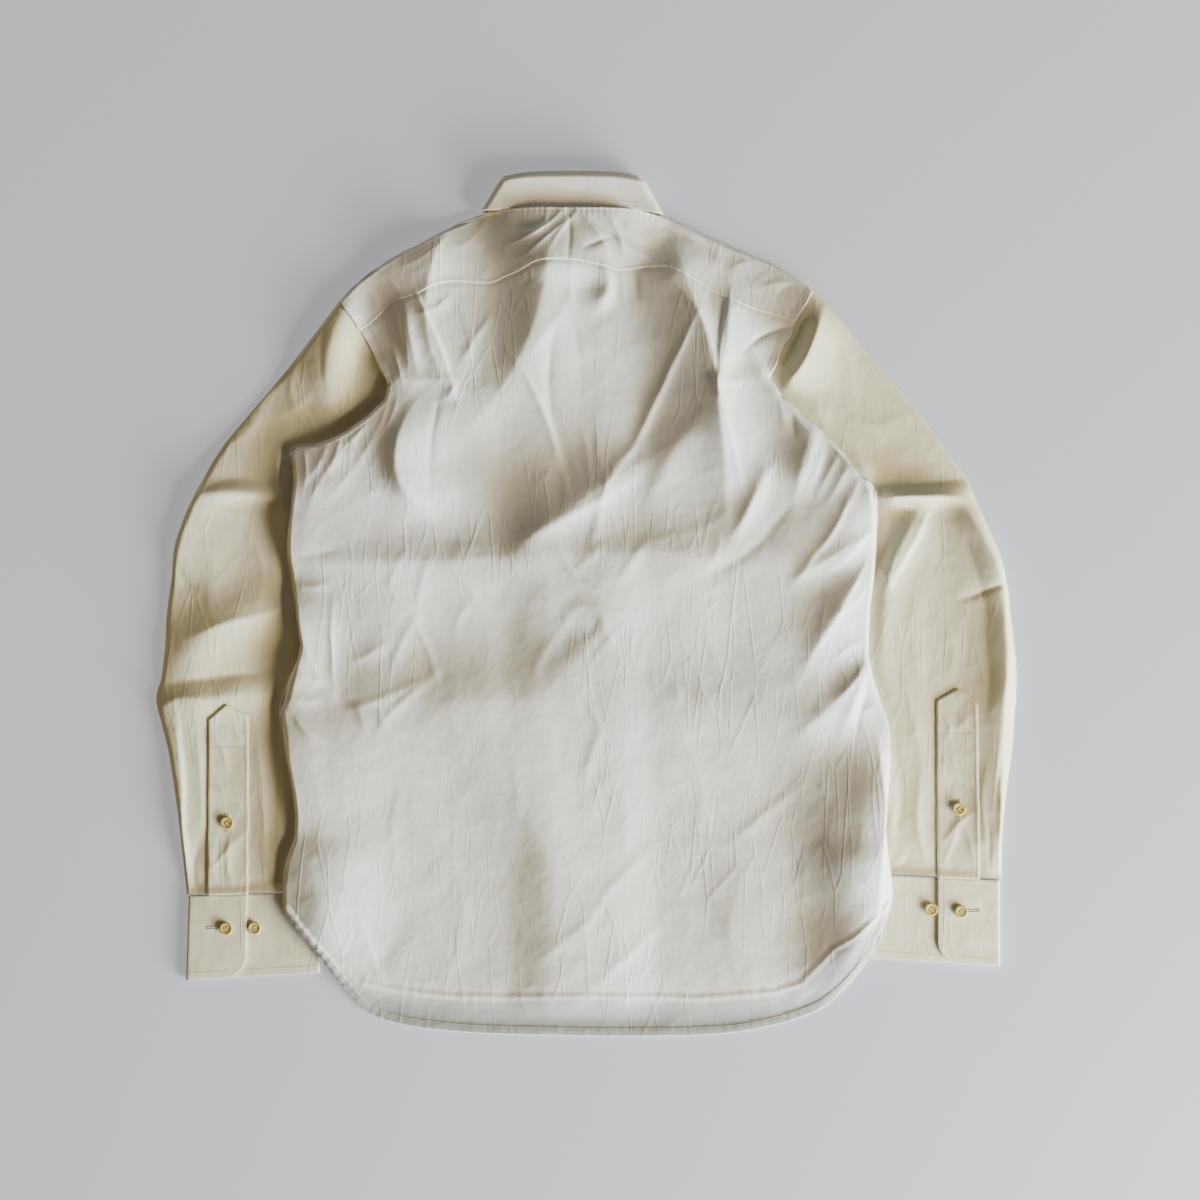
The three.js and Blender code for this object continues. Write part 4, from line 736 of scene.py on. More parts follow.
def make_yoke(side):
    sign = -1 if side == "left" else 1
    seam = [p for p in YOKE_SEAM if sign * (p[0] + 15) > 2]
    seam = seam + [(-15, 306)] if side == "left" else [(-15, 306)] + seam
    shoulder = SHOULDER[side]
    if side == "left":
        top = shoulder + [p for p in NECK_TOP if p[0] < -20][1:] + [(-14, 352.6)]
        left_edge = [shoulder[0], (-213, 262), (-207, 254), seam[0]]
        right_edge = [top[-1], (-14.5, 330), seam[-1]]
    else:
        top = [(-14, 352.6)] + [p for p in NECK_TOP if p[0] > 0][:-1] + shoulder[::-1]
        left_edge = [top[0], (-14.5, 330), seam[0]]
        right_edge = [shoulder[0], (198, 270), (193, 262), seam[-1]]
    columns, rows = steps(176), steps(66)
    plan = patch(top, seam, left_edge, right_edge, columns, rows)
    x, y = plan[..., 0], plan[..., 1]
    z = yoke_surface(x, y)
    rim = rim_of(*z.shape)
    bx, by, bz = x.ravel()[rim], y.ravel()[rim], z.ravel()[rim]
    on_shoulder = np.minimum(to_line(bx, by, shoulder), 40)
    turned = (on_shoulder < 0.8) & (np.hypot(bx - seam[0][0], by - seam[0][1]) > 6)
    turned = turned & (np.hypot(bx - seam[-1][0], by - seam[-1][1]) > 6)
    armhole_side = left_edge if side == "left" else right_edge
    at_armhole = (to_line(bx, by, armhole_side) < 0.8) & ~turned
    drop = np.where(turned, bz - collar_lift(bx, by) - 0.3, np.where(at_armhole, 1.3, 1.0))
    inward = np.where(turned, SHOULDER_TURNING - 1, 1.2)
    return shell(f"yoke_cloth_{side}", plan, z, drop, inward)


def make_front(side):
    left = side == "left"
    sign = -1 if left else 1
    tip_x, tip_y = SHOULDER[side][0]
    arm_end = (tip_x - sign * 14, tip_y - 24)
    neck_end = (COLLAR["centre"] + sign * 77, 325)
    past_placket = -SEAM_GAP if left else 2

    def edge_x(y):
        return float(centre_x(y) - PLACKET_WIDTH / 2 + past_placket)

    top_y = PLACKET_CORNER_Y if left else FRONT_NECK_Y - SEAM_GAP
    corner = (edge_x(top_y), top_y)
    neckline = [neck_end, (COLLAR["centre"] + sign * 62, 300), corner]
    top = [arm_end, ((arm_end[0] + neck_end[0]) / 2, (arm_end[1] + neck_end[1]) / 2)] + neckline
    fold = LEFT_SIDE if left else RIGHT_SIDE
    folded = [(x - sign * 1.6, y) for x, y in fold[2:-1]]
    low_corner = (-269, -268) if left else (271, -266)
    hem_end = (edge_x(FRONT_HEM_Y), FRONT_HEM_Y + 0.5)
    side_edge, free_edge = [arm_end] + folded + [low_corner], [corner, hem_end]
    if left:
        hem = [low_corner] + [p for p in FRONT_HEM[1:] if p[0] < hem_end[0] - 5] + [hem_end]
        plan = patch(top, hem, side_edge, free_edge, steps(48), steps(90))
    else:
        hem = [hem_end] + [p for p in FRONT_HEM[:-1] if p[0] > hem_end[0] + 5] + [low_corner]
        plan = patch(top[::-1], hem, free_edge, side_edge, steps(48), steps(90))
    x, y = plan[..., 0], plan[..., 1]
    base = front_base(x, y) + (0 if left else 1) * overlap_lift(x, y)
    return shell(f"front_cloth_{side}", plan, base + 0.5, 0.45, 1.0)


def make_placket():
    across, along = steps(12), steps(120)
    y = lerp(FRONT_NECK_Y - SEAM_GAP, FRONT_HEM_Y, along)[:, None] + 0 * across[None, :]
    x = centre_x(y) + PLACKET_WIDTH * (across[None, :] - 0.5)
    plan = np.stack([x, y], axis=-1)
    return shell("placket_cloth", plan, front_base(x, y) + 0.7, 0.65, 1.0)


# ------------------------------------------------------------------ sleeves, cuffs, sleeve plackets
def sleeve_plan(side, us, vs):
    cuff_line = [SLEEVE_OUT[side][-1], SLEEVE_IN[side][-1]]
    return patch(ARMHOLE[side], cuff_line, SLEEVE_OUT[side], SLEEVE_IN[side], us, vs)


def to_cuff_seam(side, x, y):
    return to_line(x, y, [CUFF[side]["top_out"], CUFF[side]["top_in"]])


def sleeve_surface(side, x, y):
    inner = SLEEVE_IN[side]
    at_inner = smooth(1 - to_line(x, y, inner) / 8)
    z = sleeve_top(side, x, y, SLEEVE_OUT[side], SLEEVE_CREASES[side], at_inner)
    seam = ARMHOLE[side][:4]
    return z + 1.2 * smooth(1 - to_line(x, y, seam) / 14)


def make_sleeve(side):
    columns, rows = steps(100), steps(285)
    plan = sleeve_plan(side, columns, rows)
    x, y = plan[..., 0], plan[..., 1]
    top = sleeve_surface(side, x, y)
    to_cuff = to_cuff_seam(side, x, y)
    gathers = 0.5 * np.sin(x / 4.4 + 3 * ripple(x, y, 30, 93)) * np.exp(-to_cuff / 16)
    top = top + gathers * smooth(to_cuff / 3)
    top = lerp(4.6, top, smooth(to_cuff / 9))
    under_columns = np.linspace(1, 0, 14)
    under = lerp(plan[:, :1], plan[:, -1:], under_columns[None, :, None])
    across = plan[:, -1] - plan[:, 0]
    across /= np.hypot(across[:, 0], across[:, 1])[:, None]

    def edge(at, sign, angles):
        turn = np.radians(angles)[None, :]
        spread = (top[:, [at]] - 0.15) / 2
        spot = plan[:, [at]] + sign * across[:, None] * (np.minimum(spread, 1.3) * np.sin(turn))[..., None]
        return np.concatenate([spot, (0.15 + spread + spread * np.cos(turn))[..., None]], axis=-1)

    skin = np.concatenate([plan, top[..., None]], axis=-1)
    inner_turn = edge(-1, 1, [40, 80, 120])
    outer_turn = edge(0, -1, [120, 80, 40])
    low = np.concatenate([under, np.full(under.shape[:2] + (1,), 0.15)], axis=-1)
    rings = np.concatenate([skin, inner_turn, low, outer_turn], axis=1)
    return flat_tube(f"sleeve_cloth_{side}", rings if side == "left" else rings[:, ::-1])


def cuff_place(side, share, down):
    c = CUFF[side]
    top = lerp(np.array(c["top_out"]), np.array(c["top_in"]), np.asarray(share)[..., None])
    bottom = lerp(np.array(c["bottom_out"]), np.array(c["bottom_in"]), np.asarray(share)[..., None])
    return lerp(top, bottom, np.asarray(down)[..., None])


def cuff_wave(x, y):
    return 0.35 * ripple(x, y, 34, 101) + 0.18 * ripple(x, y, 13, 102)


def make_cuff(side):
    """One interlined band that goes round flat and laps over its own end."""
    c = CUFF[side]
    span = abs(c["top_in"][0] - c["top_out"][0])
    level = CUFF_PLY + SEAM_GAP
    end, under_end = ((c[key] - c["top_out"][0]) / (c["top_in"][0] - c["top_out"][0]) for key in ("end", "under_end"))
    edge = CUFF_PLY / span
    half_turn = [math.radians(a) for a in (20, 50, 90, 130, 160)]
    path = [(s, 2.0) for s in np.linspace(end, 1.6 * edge, 26)]
    path += [(edge * (1.6 - 1.1 * math.sin(a)), 1 + math.cos(a)) for a in half_turn]
    path += [(s, 0.0) for s in np.linspace(1.6 * edge, 1 - 1.3 * edge, 24)]
    path += [(1 - edge * (1.3 - 0.8 * math.sin(a)), 0.5 - 0.5 * math.cos(a)) for a in half_turn]
    path += [(s, 1.0) for s in np.linspace(1 - 1.3 * edge, under_end, 36)]
    share = np.array([p[0] for p in path])[None, :]
    step = np.array([p[1] for p in path])[None, :]
    down = np.linspace(0, 1, 44)[:, None]
    height = abs(c["top_out"][1] - c["bottom_out"][1])
    up = (1 - down) * height
    round_cut = c["corner"] - np.sqrt(np.maximum(c["corner"] ** 2 - np.maximum(c["corner"] - up, 0) ** 2, 0))
    near_end = (step > 1.99) * smooth((share - (end - 30 / span)) / (30 / span))
    share = share - round_cut * near_end / span
    plan = cuff_place(side, share + 0 * down, down + 0 * share)
    x, y = plan[..., 0], plan[..., 1]
    wave = cuff_wave(x, y)
    top_edge = 0.5 * smooth(1 - down * height / 6) * np.sin(x / 5 + 2 * ripple(x, y, 24, 103))
    z = CUFF_PLY / 2 + step * level + (wave * 0.6 + 0.4 * top_edge) * smooth(step) * (step > 0.6)
    grid = np.concatenate([plan, z[..., None]], axis=-1)
    if side == "left":
        grid = grid[:, ::-1]
    rows, columns = z.shape
    obj = add_mesh(f"cuff_cloth_{side}", grid.reshape(-1, 3), quads(rows, columns).tolist())
    return thick(obj, CUFF_PLY - SOFT_EDGE)


def placket_outline(side, inset=0.0):
    p = SLEEVE_PLACKET[side]
    (lx, ly), (rx, ry) = p["shoulders"]
    (bl, by), (br, bry) = p["base"]
    tip_x, tip_y = p["tip"]
    return dict(
        left=[(lx + inset, ly), (bl + inset, by)], right=[(rx - inset, ry), (br - inset, bry)],
        top=[(lx + inset, ly), (tip_x, tip_y - 1.2 * inset), (rx - inset, ry)],
    )


def sleeve_placket_top(side, x, y):
    under = sleeve_surface(side, x, y)
    small = creased(PLACKET_CREASES[side], x, y)
    to_cuff = to_cuff_seam(side, x, y)
    return lerp(5.7, under + 1.35 + small, smooth(to_cuff / 9))


def make_sleeve_placket(side):
    p = SLEEVE_PLACKET[side]
    across, along = steps(26), steps(120)
    u, v = across[None, :], along[:, None]
    (lx, ly), (rx, ry) = p["shoulders"]
    peak_x = np.where(u < 0.5, lerp(lx, p["tip"][0], 2 * u), lerp(p["tip"][0], rx, 2 * u - 1))
    peak_y = np.where(u < 0.5, lerp(ly, p["tip"][1], 2 * u), lerp(p["tip"][1], ry, 2 * u - 1))
    (bl, bly), (br, bry) = p["base"]
    x = lerp(peak_x, lerp(bl, br, u), v) + 0.5 * ripple(0 * u + v * 6, 0 * v + 2, 1, 107)
    y = lerp(peak_y, lerp(bly, bry, u), v)
    z = sleeve_placket_top(side, x, y) + 0.12 * ripple(x, y, 9, 108)
    return shell(f"sleeve_placket_cloth_{side}", np.stack([x, y], axis=-1), z, 1.3, 0.8)


# ------------------------------------------------------------------ collar
def collar_ring(place, radius, stations, widths, lift):
    """Middle surface of one band of the collar: its back, the turns at the neck's sides and its front."""
    rows = []
    for w, out, rise in widths:
        row = []
        for q in stations:
            side, along = (1 if q > 0 else -1), abs(q)
            spot = place(w, side)
            flat = spot["half"] - radius
            if along <= 1:
                px, py, pz = side * flat * along, lerp(spot["back"], spot["side"], along**4), radius
                nx, nz = 0.0, 1.0
            elif along <= 2:
                angle = (along - 1) * math.pi
                px, py, pz = side * (flat + radius * math.sin(angle)), spot["side"], radius * math.cos(angle)
                nx, nz = side * math.sin(angle), math.cos(angle)
            else:
                share = min(1.0, along - 2)
                past = max(0.0, along - 3) * COLLAR["lap"] - spot["bow"] * math.sin(math.pi * share)
                px = side * (lerp(flat, spot["front_x"], share) - past)
                py, pz = lerp(spot["side"], spot["front_y"], share), -radius
                nx, nz = 0.0, -1.0
            away = out + lift(q, w, px, py)
            row.append((COLLAR["centre"] + px + nx * away, py + rise, COLLAR_MIDDLE + pz + nz * away))
        rows.append(row)
    return np.array(rows)


def ring_stations(front_end, back=34, turn=12, front=26):
    half = list(np.linspace(0, 1, back)[1:]) + list(np.linspace(1, 2, turn)[1:])
    half += list(np.linspace(2, front_end, front)[1:])
    return [-q for q in half[::-1]] + [0.0] + half


def make_collar_leaf():
    c = COLLAR
    top = COLLAR_PLY / 2 + c["roll"]

    def place(w, side):
        return dict(
            half=lerp(c["fold_half"], c["edge_half"], w),
            back=lerp(c["fold_y"] - top, c["leaf_y"], w),
            side=lerp(c["fold_side_y"] - top, c["leaf_side_y"] - (2.5 if side > 0 else 0), w),
            front_x=lerp(c["leaf_front"][0], c["leaf_point"][0], w),
            front_y=lerp(c["leaf_front"][1], c["leaf_point"][1], w), bow=0.0,
        )

    widths = []
    for share in np.linspace(0, 1, LEAF_ROLL_ROWS):
        angle = math.pi * (1 - share)
        widths.append((0.0, -c["roll"] + c["roll"] * math.cos(angle), c["roll"] * math.sin(angle)))
    widths += [(w, 0.0, 0.0) for w in np.linspace(0.04, 1, 26)]

    def lift(q, w, px, py):
        bulge = c["bulge"] * (1 - w) ** 1.5 * min(1, 7 * w) * float(smooth((1.8 - abs(q)) / 1.0))
        wave = 0.5 * float(ripple(px, py, 46, 111)) + 0.25 * float(ripple(px, py, 17, 112))
        return bulge + wave * (1 if abs(q) < 2 else 0) * min(1, 3 * w)

    grid = collar_ring(place, c["radius"], ring_stations(3, 46), widths, lift)
    rows, columns = grid.shape[:2]
    obj = add_mesh("collar_leaf_cloth", grid.reshape(-1, 3), quads(rows, columns).tolist())
    return thick(obj, COLLAR_PLY - SOFT_EDGE), grid


def make_collar_stand():
    c = COLLAR
    gap = c["roll"] + COLLAR_PLY / 2 + SEAM_GAP

    def place(w, side):
        return dict(
            half=lerp(c["fold_half"], c["seam_half"], w) - 2 * c["roll"],
            back=lerp(c["fold_y"] - gap, c["seam_y"], w),
            side=lerp(c["fold_side_y"] - gap, c["seam_side_y"], w),
            front_x=lerp(c["leaf_front"][0], c["stand_front"][0], w),
            front_y=lerp(c["leaf_front"][1] - SEAM_GAP, c["stand_front"][1], w), bow=c["bow"] * w,
        )

    def lift(q, w, px, py):
        lap = -c["rise"] * float(smooth((abs(q) - 2.2) / 0.6))
        return lap - (COLLAR_PLY + SEAM_GAP) * float(smooth((q - 2.1) / 0.6))

    widths = [(w, 0.0, 0.0) for w in np.linspace(0, 1, 16)]
    grid = collar_ring(place, STAND_RADIUS, ring_stations(4, 40), widths, lift)
    rows, columns = grid.shape[:2]
    obj = add_mesh("collar_stand_cloth", grid.reshape(-1, 3), quads(rows, columns).tolist())
    return thick(obj, COLLAR_PLY - SOFT_EDGE)


# ------------------------------------------------------------------ buttons
def make_button(name, x, y, z, face_up=True, turn=20.0):
    """A four-hole button with a rolled rim and a dish."""
    profile = [
        (0.0, 0.15), (0.62, 0.15), (0.86, 0.3), (1.0, 0.62), (1.0, 0.8), (0.95, 0.95), (0.86, 1.0),
        (0.76, 0.96), (0.66, 0.87), (0.5, 0.83), (0.0, 0.82),
    ]
    around = 40
    rings = []
    for r, h in profile[1:-1]:
        angle = np.arange(around) * 2 * math.pi / around
        rings.append(np.stack([BUTTON_RADIUS * r * np.cos(angle), BUTTON_RADIUS * r * np.sin(angle),
                               np.full(around, BUTTON_THICKNESS * (h - 0.15) / 0.85)], axis=1))
    points = np.concatenate(rings)
    faces = [face[::-1] for face in quads(len(rings), around, closed=True).tolist()]
    faces.append(list(range(around))[::-1])
    faces.append([(len(rings) - 1) * around + i for i in range(around)])
    button = add_mesh(name, points, faces)
    cutter_faces, cutter_points = [], []
    for k in range(4):
        angle = math.radians(45 + 90 * k)
        cx, cy = BUTTON_HOLE_SPREAD * math.cos(angle), BUTTON_HOLE_SPREAD * math.sin(angle)
        first = len(cutter_points)
        for h in (-1.0, 4.0):
            for i in range(10):
                a = 2 * math.pi * i / 10
                across = BUTTON_HOLE_RADIUS * math.cos(a), BUTTON_HOLE_RADIUS * math.sin(a)
                cutter_points.append((cx + across[0], cy + across[1], h))
        for i in range(10):
            n = (i + 1) % 10
            cutter_faces.append([first + i, first + n, first + 10 + n, first + 10 + i])
        cutter_faces.append([first + i for i in range(10)][::-1])
        cutter_faces.append([first + 10 + i for i in range(10)])
    cutter = add_mesh("hole_cutter", cutter_points, cutter_faces)
    cut = button.modifiers.new("Holes", "BOOLEAN")
    cut.object, cut.operation, cut.solver = cutter, "DIFFERENCE", "EXACT"
    baked(button)
    bpy.data.objects.remove(cutter)
    place_mesh(button, x, y, z, face_up, turn)
    for polygon in button.data.polygons:
        polygon.use_smooth = len(polygon.vertices) < 9
    return button


def place_mesh(obj, x, y, z, face_up=True, turn=0.0):
    matrix = Matrix.Translation(Vector((x, y, z)) * MM) @ Matrix.Rotation(math.radians(turn), 4, "Z")
    if not face_up:
        matrix = matrix @ Matrix.Rotation(math.pi, 4, "X")
    obj.data.transform(matrix)
    obj.data.update()


# ------------------------------------------------------------------ stitches
def stitch_tree(material):
    """Short threads laid one after another along a line, at a pitch."""
    tree = bpy.data.node_groups.new("Stitches", "GeometryNodeTree")
    tree.interface.new_socket(name="Geometry", in_out="INPUT", socket_type="NodeSocketGeometry")
    for name, kind, default in (
        ("Pitch", "Float", 0.0023), ("Stitch length", "Float", 0.0017), ("Thread radius", "Float", 0.00025),
        ("Turn", "Float", 0.0), ("Seed", "Int", 3),
    ):
        socket = tree.interface.new_socket(name=name, in_out="INPUT", socket_type="NodeSocket" + kind)
        socket.default_value = default
    tree.interface.new_socket(name="Geometry", in_out="OUTPUT", socket_type="NodeSocketGeometry")

    def add(kind, settings=(), inputs=()):
        node = tree.nodes.new(kind)
        for name, value in dict(settings).items():
            setattr(node, name, value)
        for name, value in dict(inputs).items():
            node.inputs[name].default_value = value
        return node

    given, out = add("NodeGroupInput"), add("NodeGroupOutput")
    curve, points = add("GeometryNodeMeshToCurve"), add("GeometryNodeCurveToPoints", {"mode": "LENGTH"})
    thread = add("GeometryNodeMeshUVSphere", inputs={"Segments": 5, "Rings": 4, "Radius": 1.0})
    align = add("FunctionNodeAlignRotationToVector", {"axis": "X"})
    turn = add("FunctionNodeRotateRotation", {"rotation_space": "LOCAL"})
    around = add("FunctionNodeAxisAngleToRotation", inputs={"Axis": (0, 0, 1)})
    vary = add("FunctionNodeRandomValue", {"data_type": "FLOAT"}, {"Min": 0.88, "Max": 1.08})
    half = add("ShaderNodeMath", {"operation": "MULTIPLY"})
    half.inputs[1].default_value = 0.5
    varied = add("ShaderNodeMath", {"operation": "MULTIPLY"})
    size = add("ShaderNodeCombineXYZ")
    place, real = add("GeometryNodeInstanceOnPoints"), add("GeometryNodeRealizeInstances")
    dress = add("GeometryNodeSetMaterial", inputs={"Material": material})
    for source, output, target, entry in (
        (given, "Geometry", curve, "Mesh"), (curve, "Curve", points, "Curve"), (given, "Pitch", points, "Length"),
        (points, "Tangent", align, "Vector"), (given, "Turn", around, "Angle"),
        (align, "Rotation", turn, "Rotation"), (around, "Rotation", turn, "Rotate By"),
        (given, "Seed", vary, "Seed"), (given, "Stitch length", half, 0), (half, "Value", varied, 0),
        (vary, "Value", varied, 1), (varied, "Value", size, "X"), (given, "Thread radius", size, "Y"),
        (given, "Thread radius", size, "Z"), (points, "Points", place, "Points"),
        (thread, "Mesh", place, "Instance"), (turn, "Rotation", place, "Rotation"),
        (size, "Vector", place, "Scale"), (place, "Instances", real, "Geometry"),
        (real, "Geometry", dress, "Geometry"), (dress, "Geometry", out, "Geometry"),
    ):
        tree.links.new(source.outputs[output], target.inputs[entry])
    return tree


def stitches(name, lines, tree, **sizes):
    """Rows of stitches along lines of points in millimetres, as one plain mesh."""
    points, edges = [], []
    for line in lines:
        first = len(points)
        points += [tuple(p) for p in line]
        edges += [(first + i, first + i + 1) for i in range(len(line) - 1)]
    mesh = bpy.data.meshes.new(name)
    mesh.from_pydata((np.array(points) * MM).tolist(), edges, [])
    obj = linked(name, mesh)
    nodes = obj.modifiers.new("Stitches", "NODES")
    nodes.node_group = tree
    for item in tree.interface.items_tree:
        if item.in_out == "INPUT" and item.name in sizes:
            nodes[item.identifier] = sizes[item.name]
    return baked(obj)


# ------------------------------------------------------------------ materials
class Paint:
    """One material, and the nodes that feed its shader."""

    def __init__(self, name, **uniform):
        self.material = bpy.data.materials.new(name)
        self.material.use_nodes = True
        self.nodes, self.links = self.material.node_tree.nodes, self.material.node_tree.links
        self.shader = self.nodes["Principled BSDF"]
        for socket, value in uniform.items():
            self.feed(self.shader.inputs[socket.replace("_", " ")], value)

    def feed(self, socket, value):
        """Links an output to a socket, or sets the socket itself to a number or a colour."""
        if isinstance(value, bpy.types.NodeSocket):
            self.links.new(value, socket)
        else:
            socket.default_value = (*value, 1) if isinstance(value, tuple) else value

    def place(self, stretch=None, turn=0.0):
        """The object's own place in metres, turned and stretched where asked."""
        where = self.nodes.new("ShaderNodeTexCoord").outputs["Object"]
        if stretch is None:
            return where
        mapping = self.nodes.new("ShaderNodeMapping")
        mapping.inputs["Rotation"].default_value = (0, 0, math.radians(turn))
        mapping.inputs["Scale"].default_value = stretch
        self.links.new(where, mapping.inputs["Vector"])
        return mapping.outputs["Vector"]

    def noise(self, scale, detail=3.0, roughness=0.55, stretch=None):
        """Noise in bumps to the metre."""
        texture = self.nodes.new("ShaderNodeTexNoise")
        texture.inputs["Scale"].default_value = scale
        texture.inputs["Detail"].default_value = detail
        texture.inputs["Roughness"].default_value = roughness
        self.links.new(self.place(stretch), texture.inputs["Vector"])
        return texture.outputs["Fac"]

    def calc(self, operation, a, b):
        node = self.nodes.new("ShaderNodeMath")
        node.operation = operation
        self.feed(node.inputs[0], a)
        self.feed(node.inputs[1], b)
        return node.outputs["Value"]

    def blend(self, factor, first, second):
        mix = self.nodes.new("ShaderNodeMix")
        mix.data_type = "RGBA"
        self.feed(mix.inputs["Factor"], factor)
        self.feed(mix.inputs[6], first)
        self.feed(mix.inputs[7], second)
        return mix.outputs[2]

    def pressed_lines(self, scale, turn, width, depth):
        """The straight, crisp lines that a crumpled cloth keeps where its facets met, here and there."""
        cells = self.nodes.new("ShaderNodeTexVoronoi")
        cells.feature = "DISTANCE_TO_EDGE"
        cells.inputs["Scale"].default_value = scale
        self.links.new(self.place((1.5, 0.32, 1.0), turn), cells.inputs["Vector"])
        slope = self.calc("MINIMUM", cells.outputs["Distance"], width)
        patches = self.calc("SUBTRACT", self.noise(0.4 * scale, 2, 0.5), 0.48)
        kept = self.calc("MINIMUM", self.calc("MULTIPLY", self.calc("MAXIMUM", patches, 0.0), 7.0), 1.0)
        return self.calc("MULTIPLY", self.calc("MULTIPLY", slope, kept), depth)

    def bump(self, height, strength, distance):
        node = self.nodes.new("ShaderNodeBump")
        node.inputs["Strength"].default_value = strength
        node.inputs["Distance"].default_value = distance
        self.links.new(height, node.inputs["Height"])
        self.links.new(node.outputs["Normal"], self.shader.inputs["Normal"])


def poplin(name, tone, grain=1.0):
    """Washed ivory poplin: a matt, close plain weave, a little uneven and never quite pressed."""
    paint = Paint(name, Roughness=0.82, Specular_IOR_Level=0.25, Sheen_Weight=0.12, Sheen_Roughness=0.6)
    red, green, blue = tone
    creamy, bleached = (red, 0.93 * green, 0.74 * blue), (red, min(0.84, 1.07 * green), min(0.84, 1.26 * blue))
    uneven = paint.blend(paint.noise(5.5, 3, 0.5), creamy, bleached)
    slubs = paint.noise(700, 2, 0.6, (1.0, 0.06, 1.0))
    coloured = paint.blend(slubs, tuple(0.90 * c for c in tone), uneven)
    single = paint.nodes.new("ShaderNodeAttribute")
    single.attribute_name = "single_ply"
    paint.feed(paint.shader.inputs["Base Color"], paint.blend(single.outputs["Fac"], coloured, SINGLE_PLY_TONE))
    weave = paint.calc("MULTIPLY", paint.noise(700, 2, 0.5), 0.00005)
    slack = paint.calc("MULTIPLY", paint.noise(85, 4, 0.6), 0.00018 * grain)
    height = paint.calc("ADD", weave, slack)
    for scale, depth in ((20, 0.0016), (70, 0.0004)):
        ridge = paint.calc("ABSOLUTE", paint.calc("SUBTRACT", paint.noise(scale, 2, 0.5), 0.5), 0.0)
        height = paint.calc("SUBTRACT", height, paint.calc("MULTIPLY", ridge, depth * grain))
    for scale, turn, depth in ((26, 38, -0.0036), (30, -32, -0.0030), (34, 6, -0.0022)):
        height = paint.calc("ADD", height, paint.pressed_lines(scale, turn, 0.05, depth * grain))
    paint.bump(height, 1.0, 1.0)
    return paint.material


def pearl(name):
    """Moulded cream buttons with a cloudy, nacreous face."""
    paint = Paint(name, Roughness=0.4, Specular_IOR_Level=0.3, Coat_Weight=0.1, Coat_Roughness=0.3,
                  Subsurface_Weight=0.08, Subsurface_Scale=0.002)
    cloud = paint.noise(190, 3, 0.5, (1.0, 0.45, 1.0))
    paint.feed(paint.shader.inputs["Base Color"], paint.blend(cloud, (0.38, 0.24, 0.035), (0.68, 0.49, 0.14)))
    paint.bump(cloud, 0.15, 0.0004)
    return paint.material


def sewing_thread(name):
    paint = Paint(name, Roughness=0.6, Sheen_Weight=0.2)
    twist = paint.noise(2400, 2, 0.5)
    paint.feed(paint.shader.inputs["Base Color"], paint.blend(twist, (0.64, 0.58, 0.44), (0.80, 0.75, 0.60)))
    paint.bump(twist, 0.3, 0.0001)
    return paint.material


def paper_floor(name):
    """Pale paper that also glows a little, which softens the shadows on it."""
    paint = Paint(name, Roughness=0.9, Emission_Color=(0.98, 1.0, 1.06), Emission_Strength=0.37)
    tone = paint.blend(paint.noise(6, 3), (0.36, 0.355, 0.37), (0.37, 0.365, 0.38))
    paint.feed(paint.shader.inputs["Base Color"], tone)
    return paint.material


def plain_backdrop(name):
    paint = Paint(name, Base_Color=(0.05, 0.05, 0.05), Roughness=1.0, Emission_Strength=1.0)
    shade = paint.blend(paint.noise(0.4, 2), (0.36, 0.365, 0.38), (0.38, 0.385, 0.40))
    paint.feed(paint.shader.inputs["Emission Color"], shade)
    return paint.material


# ------------------------------------------------------------------ the shirt
BODY_COTTON = poplin("poplin_body", (0.80, 0.745, 0.62))
# The sleeves and sleeve plackets get a darker, yellower tone than the body: painted warm shade on the same poplin.
SHADED_SLEEVE_COTTON = poplin("poplin_sleeves_painted_shade", (0.76, 0.675, 0.43))
# The cuffs' darker, yellower tone is painted warm shade; their weaker bump is the interlining's stiffness.
SHADED_CUFF_COTTON = poplin("poplin_interlined_painted_shade", (0.79, 0.71, 0.47), 0.6)
# The collar's lighter, creamier tone is painted light on the same poplin.
LIT_COLLAR_COTTON = poplin("poplin_collar_painted_light", (0.86, 0.80, 0.64), 0.6)
BUTTON_PEARL = pearl("cream_buttons")
THREAD = sewing_thread("ivory_thread")
FLOOR_PAPER = paper_floor("studio_floor")
BACKDROP = plain_backdrop("studio_backdrop")


def dressed(obj, material, slot_name, *nodes):
    obj.data.materials.clear()
    obj.data.materials.append(material)
    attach(obj, "root")
    if nodes:
        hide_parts(*nodes)
    return obj


def inset_line(line, inset, count, first=0.0, last=1.0):
    """A line kept at a distance to the right of another, from one share of its length to another."""
    points = flow(line, np.linspace(first, last, count))
    along = np.gradient(points, axis=0)
    along /= np.hypot(along[:, 0], along[:, 1])[:, None]
    return points + inset * np.stack([along[:, 1], -along[:, 0]], axis=1)


def laid(line, surface, above=0.12):
    """Points of a line, laid on a surface."""
    x, y = np.asarray(line, float).T
    return np.column_stack([x, y, surface(x, y) + above])


def cuff_top(side, x, y):
    level = CUFF_PLY + SEAM_GAP
    end = CUFF[side]["end"]
    outer = (x < end) if side == "left" else (x > end)
    return CUFF_PLY / 2 + np.where(outer, 2, 1) * level + 0.6 * cuff_wave(x, y) + (CUFF_PLY - SOFT_EDGE) / 2


def dense(line, count):
    """A straight-sided line through its points, evenly spaced."""
    p = np.array(line, float)
    run = np.concatenate([[0], np.cumsum(np.hypot(*np.diff(p, axis=0).T))])
    at = np.linspace(0, run[-1], count)
    return np.column_stack([np.interp(at, run, p[:, 0]), np.interp(at, run, p[:, 1])])


def arm_buttons(side):
    """Where the two buttons of a cuff and the one of its sleeve placket sit."""
    x, y = SLEEVE_PLACKET[side]["button"]
    z = float(sleeve_placket_top(side, np.array([x]), np.array([y]))[0]) + SLEEVE_BUTTON_RISE
    return [(*spot, height) for spot, height in zip(CUFF[side]["buttons"], CUFF_BUTTON_Z)] + [(x, y, z)]


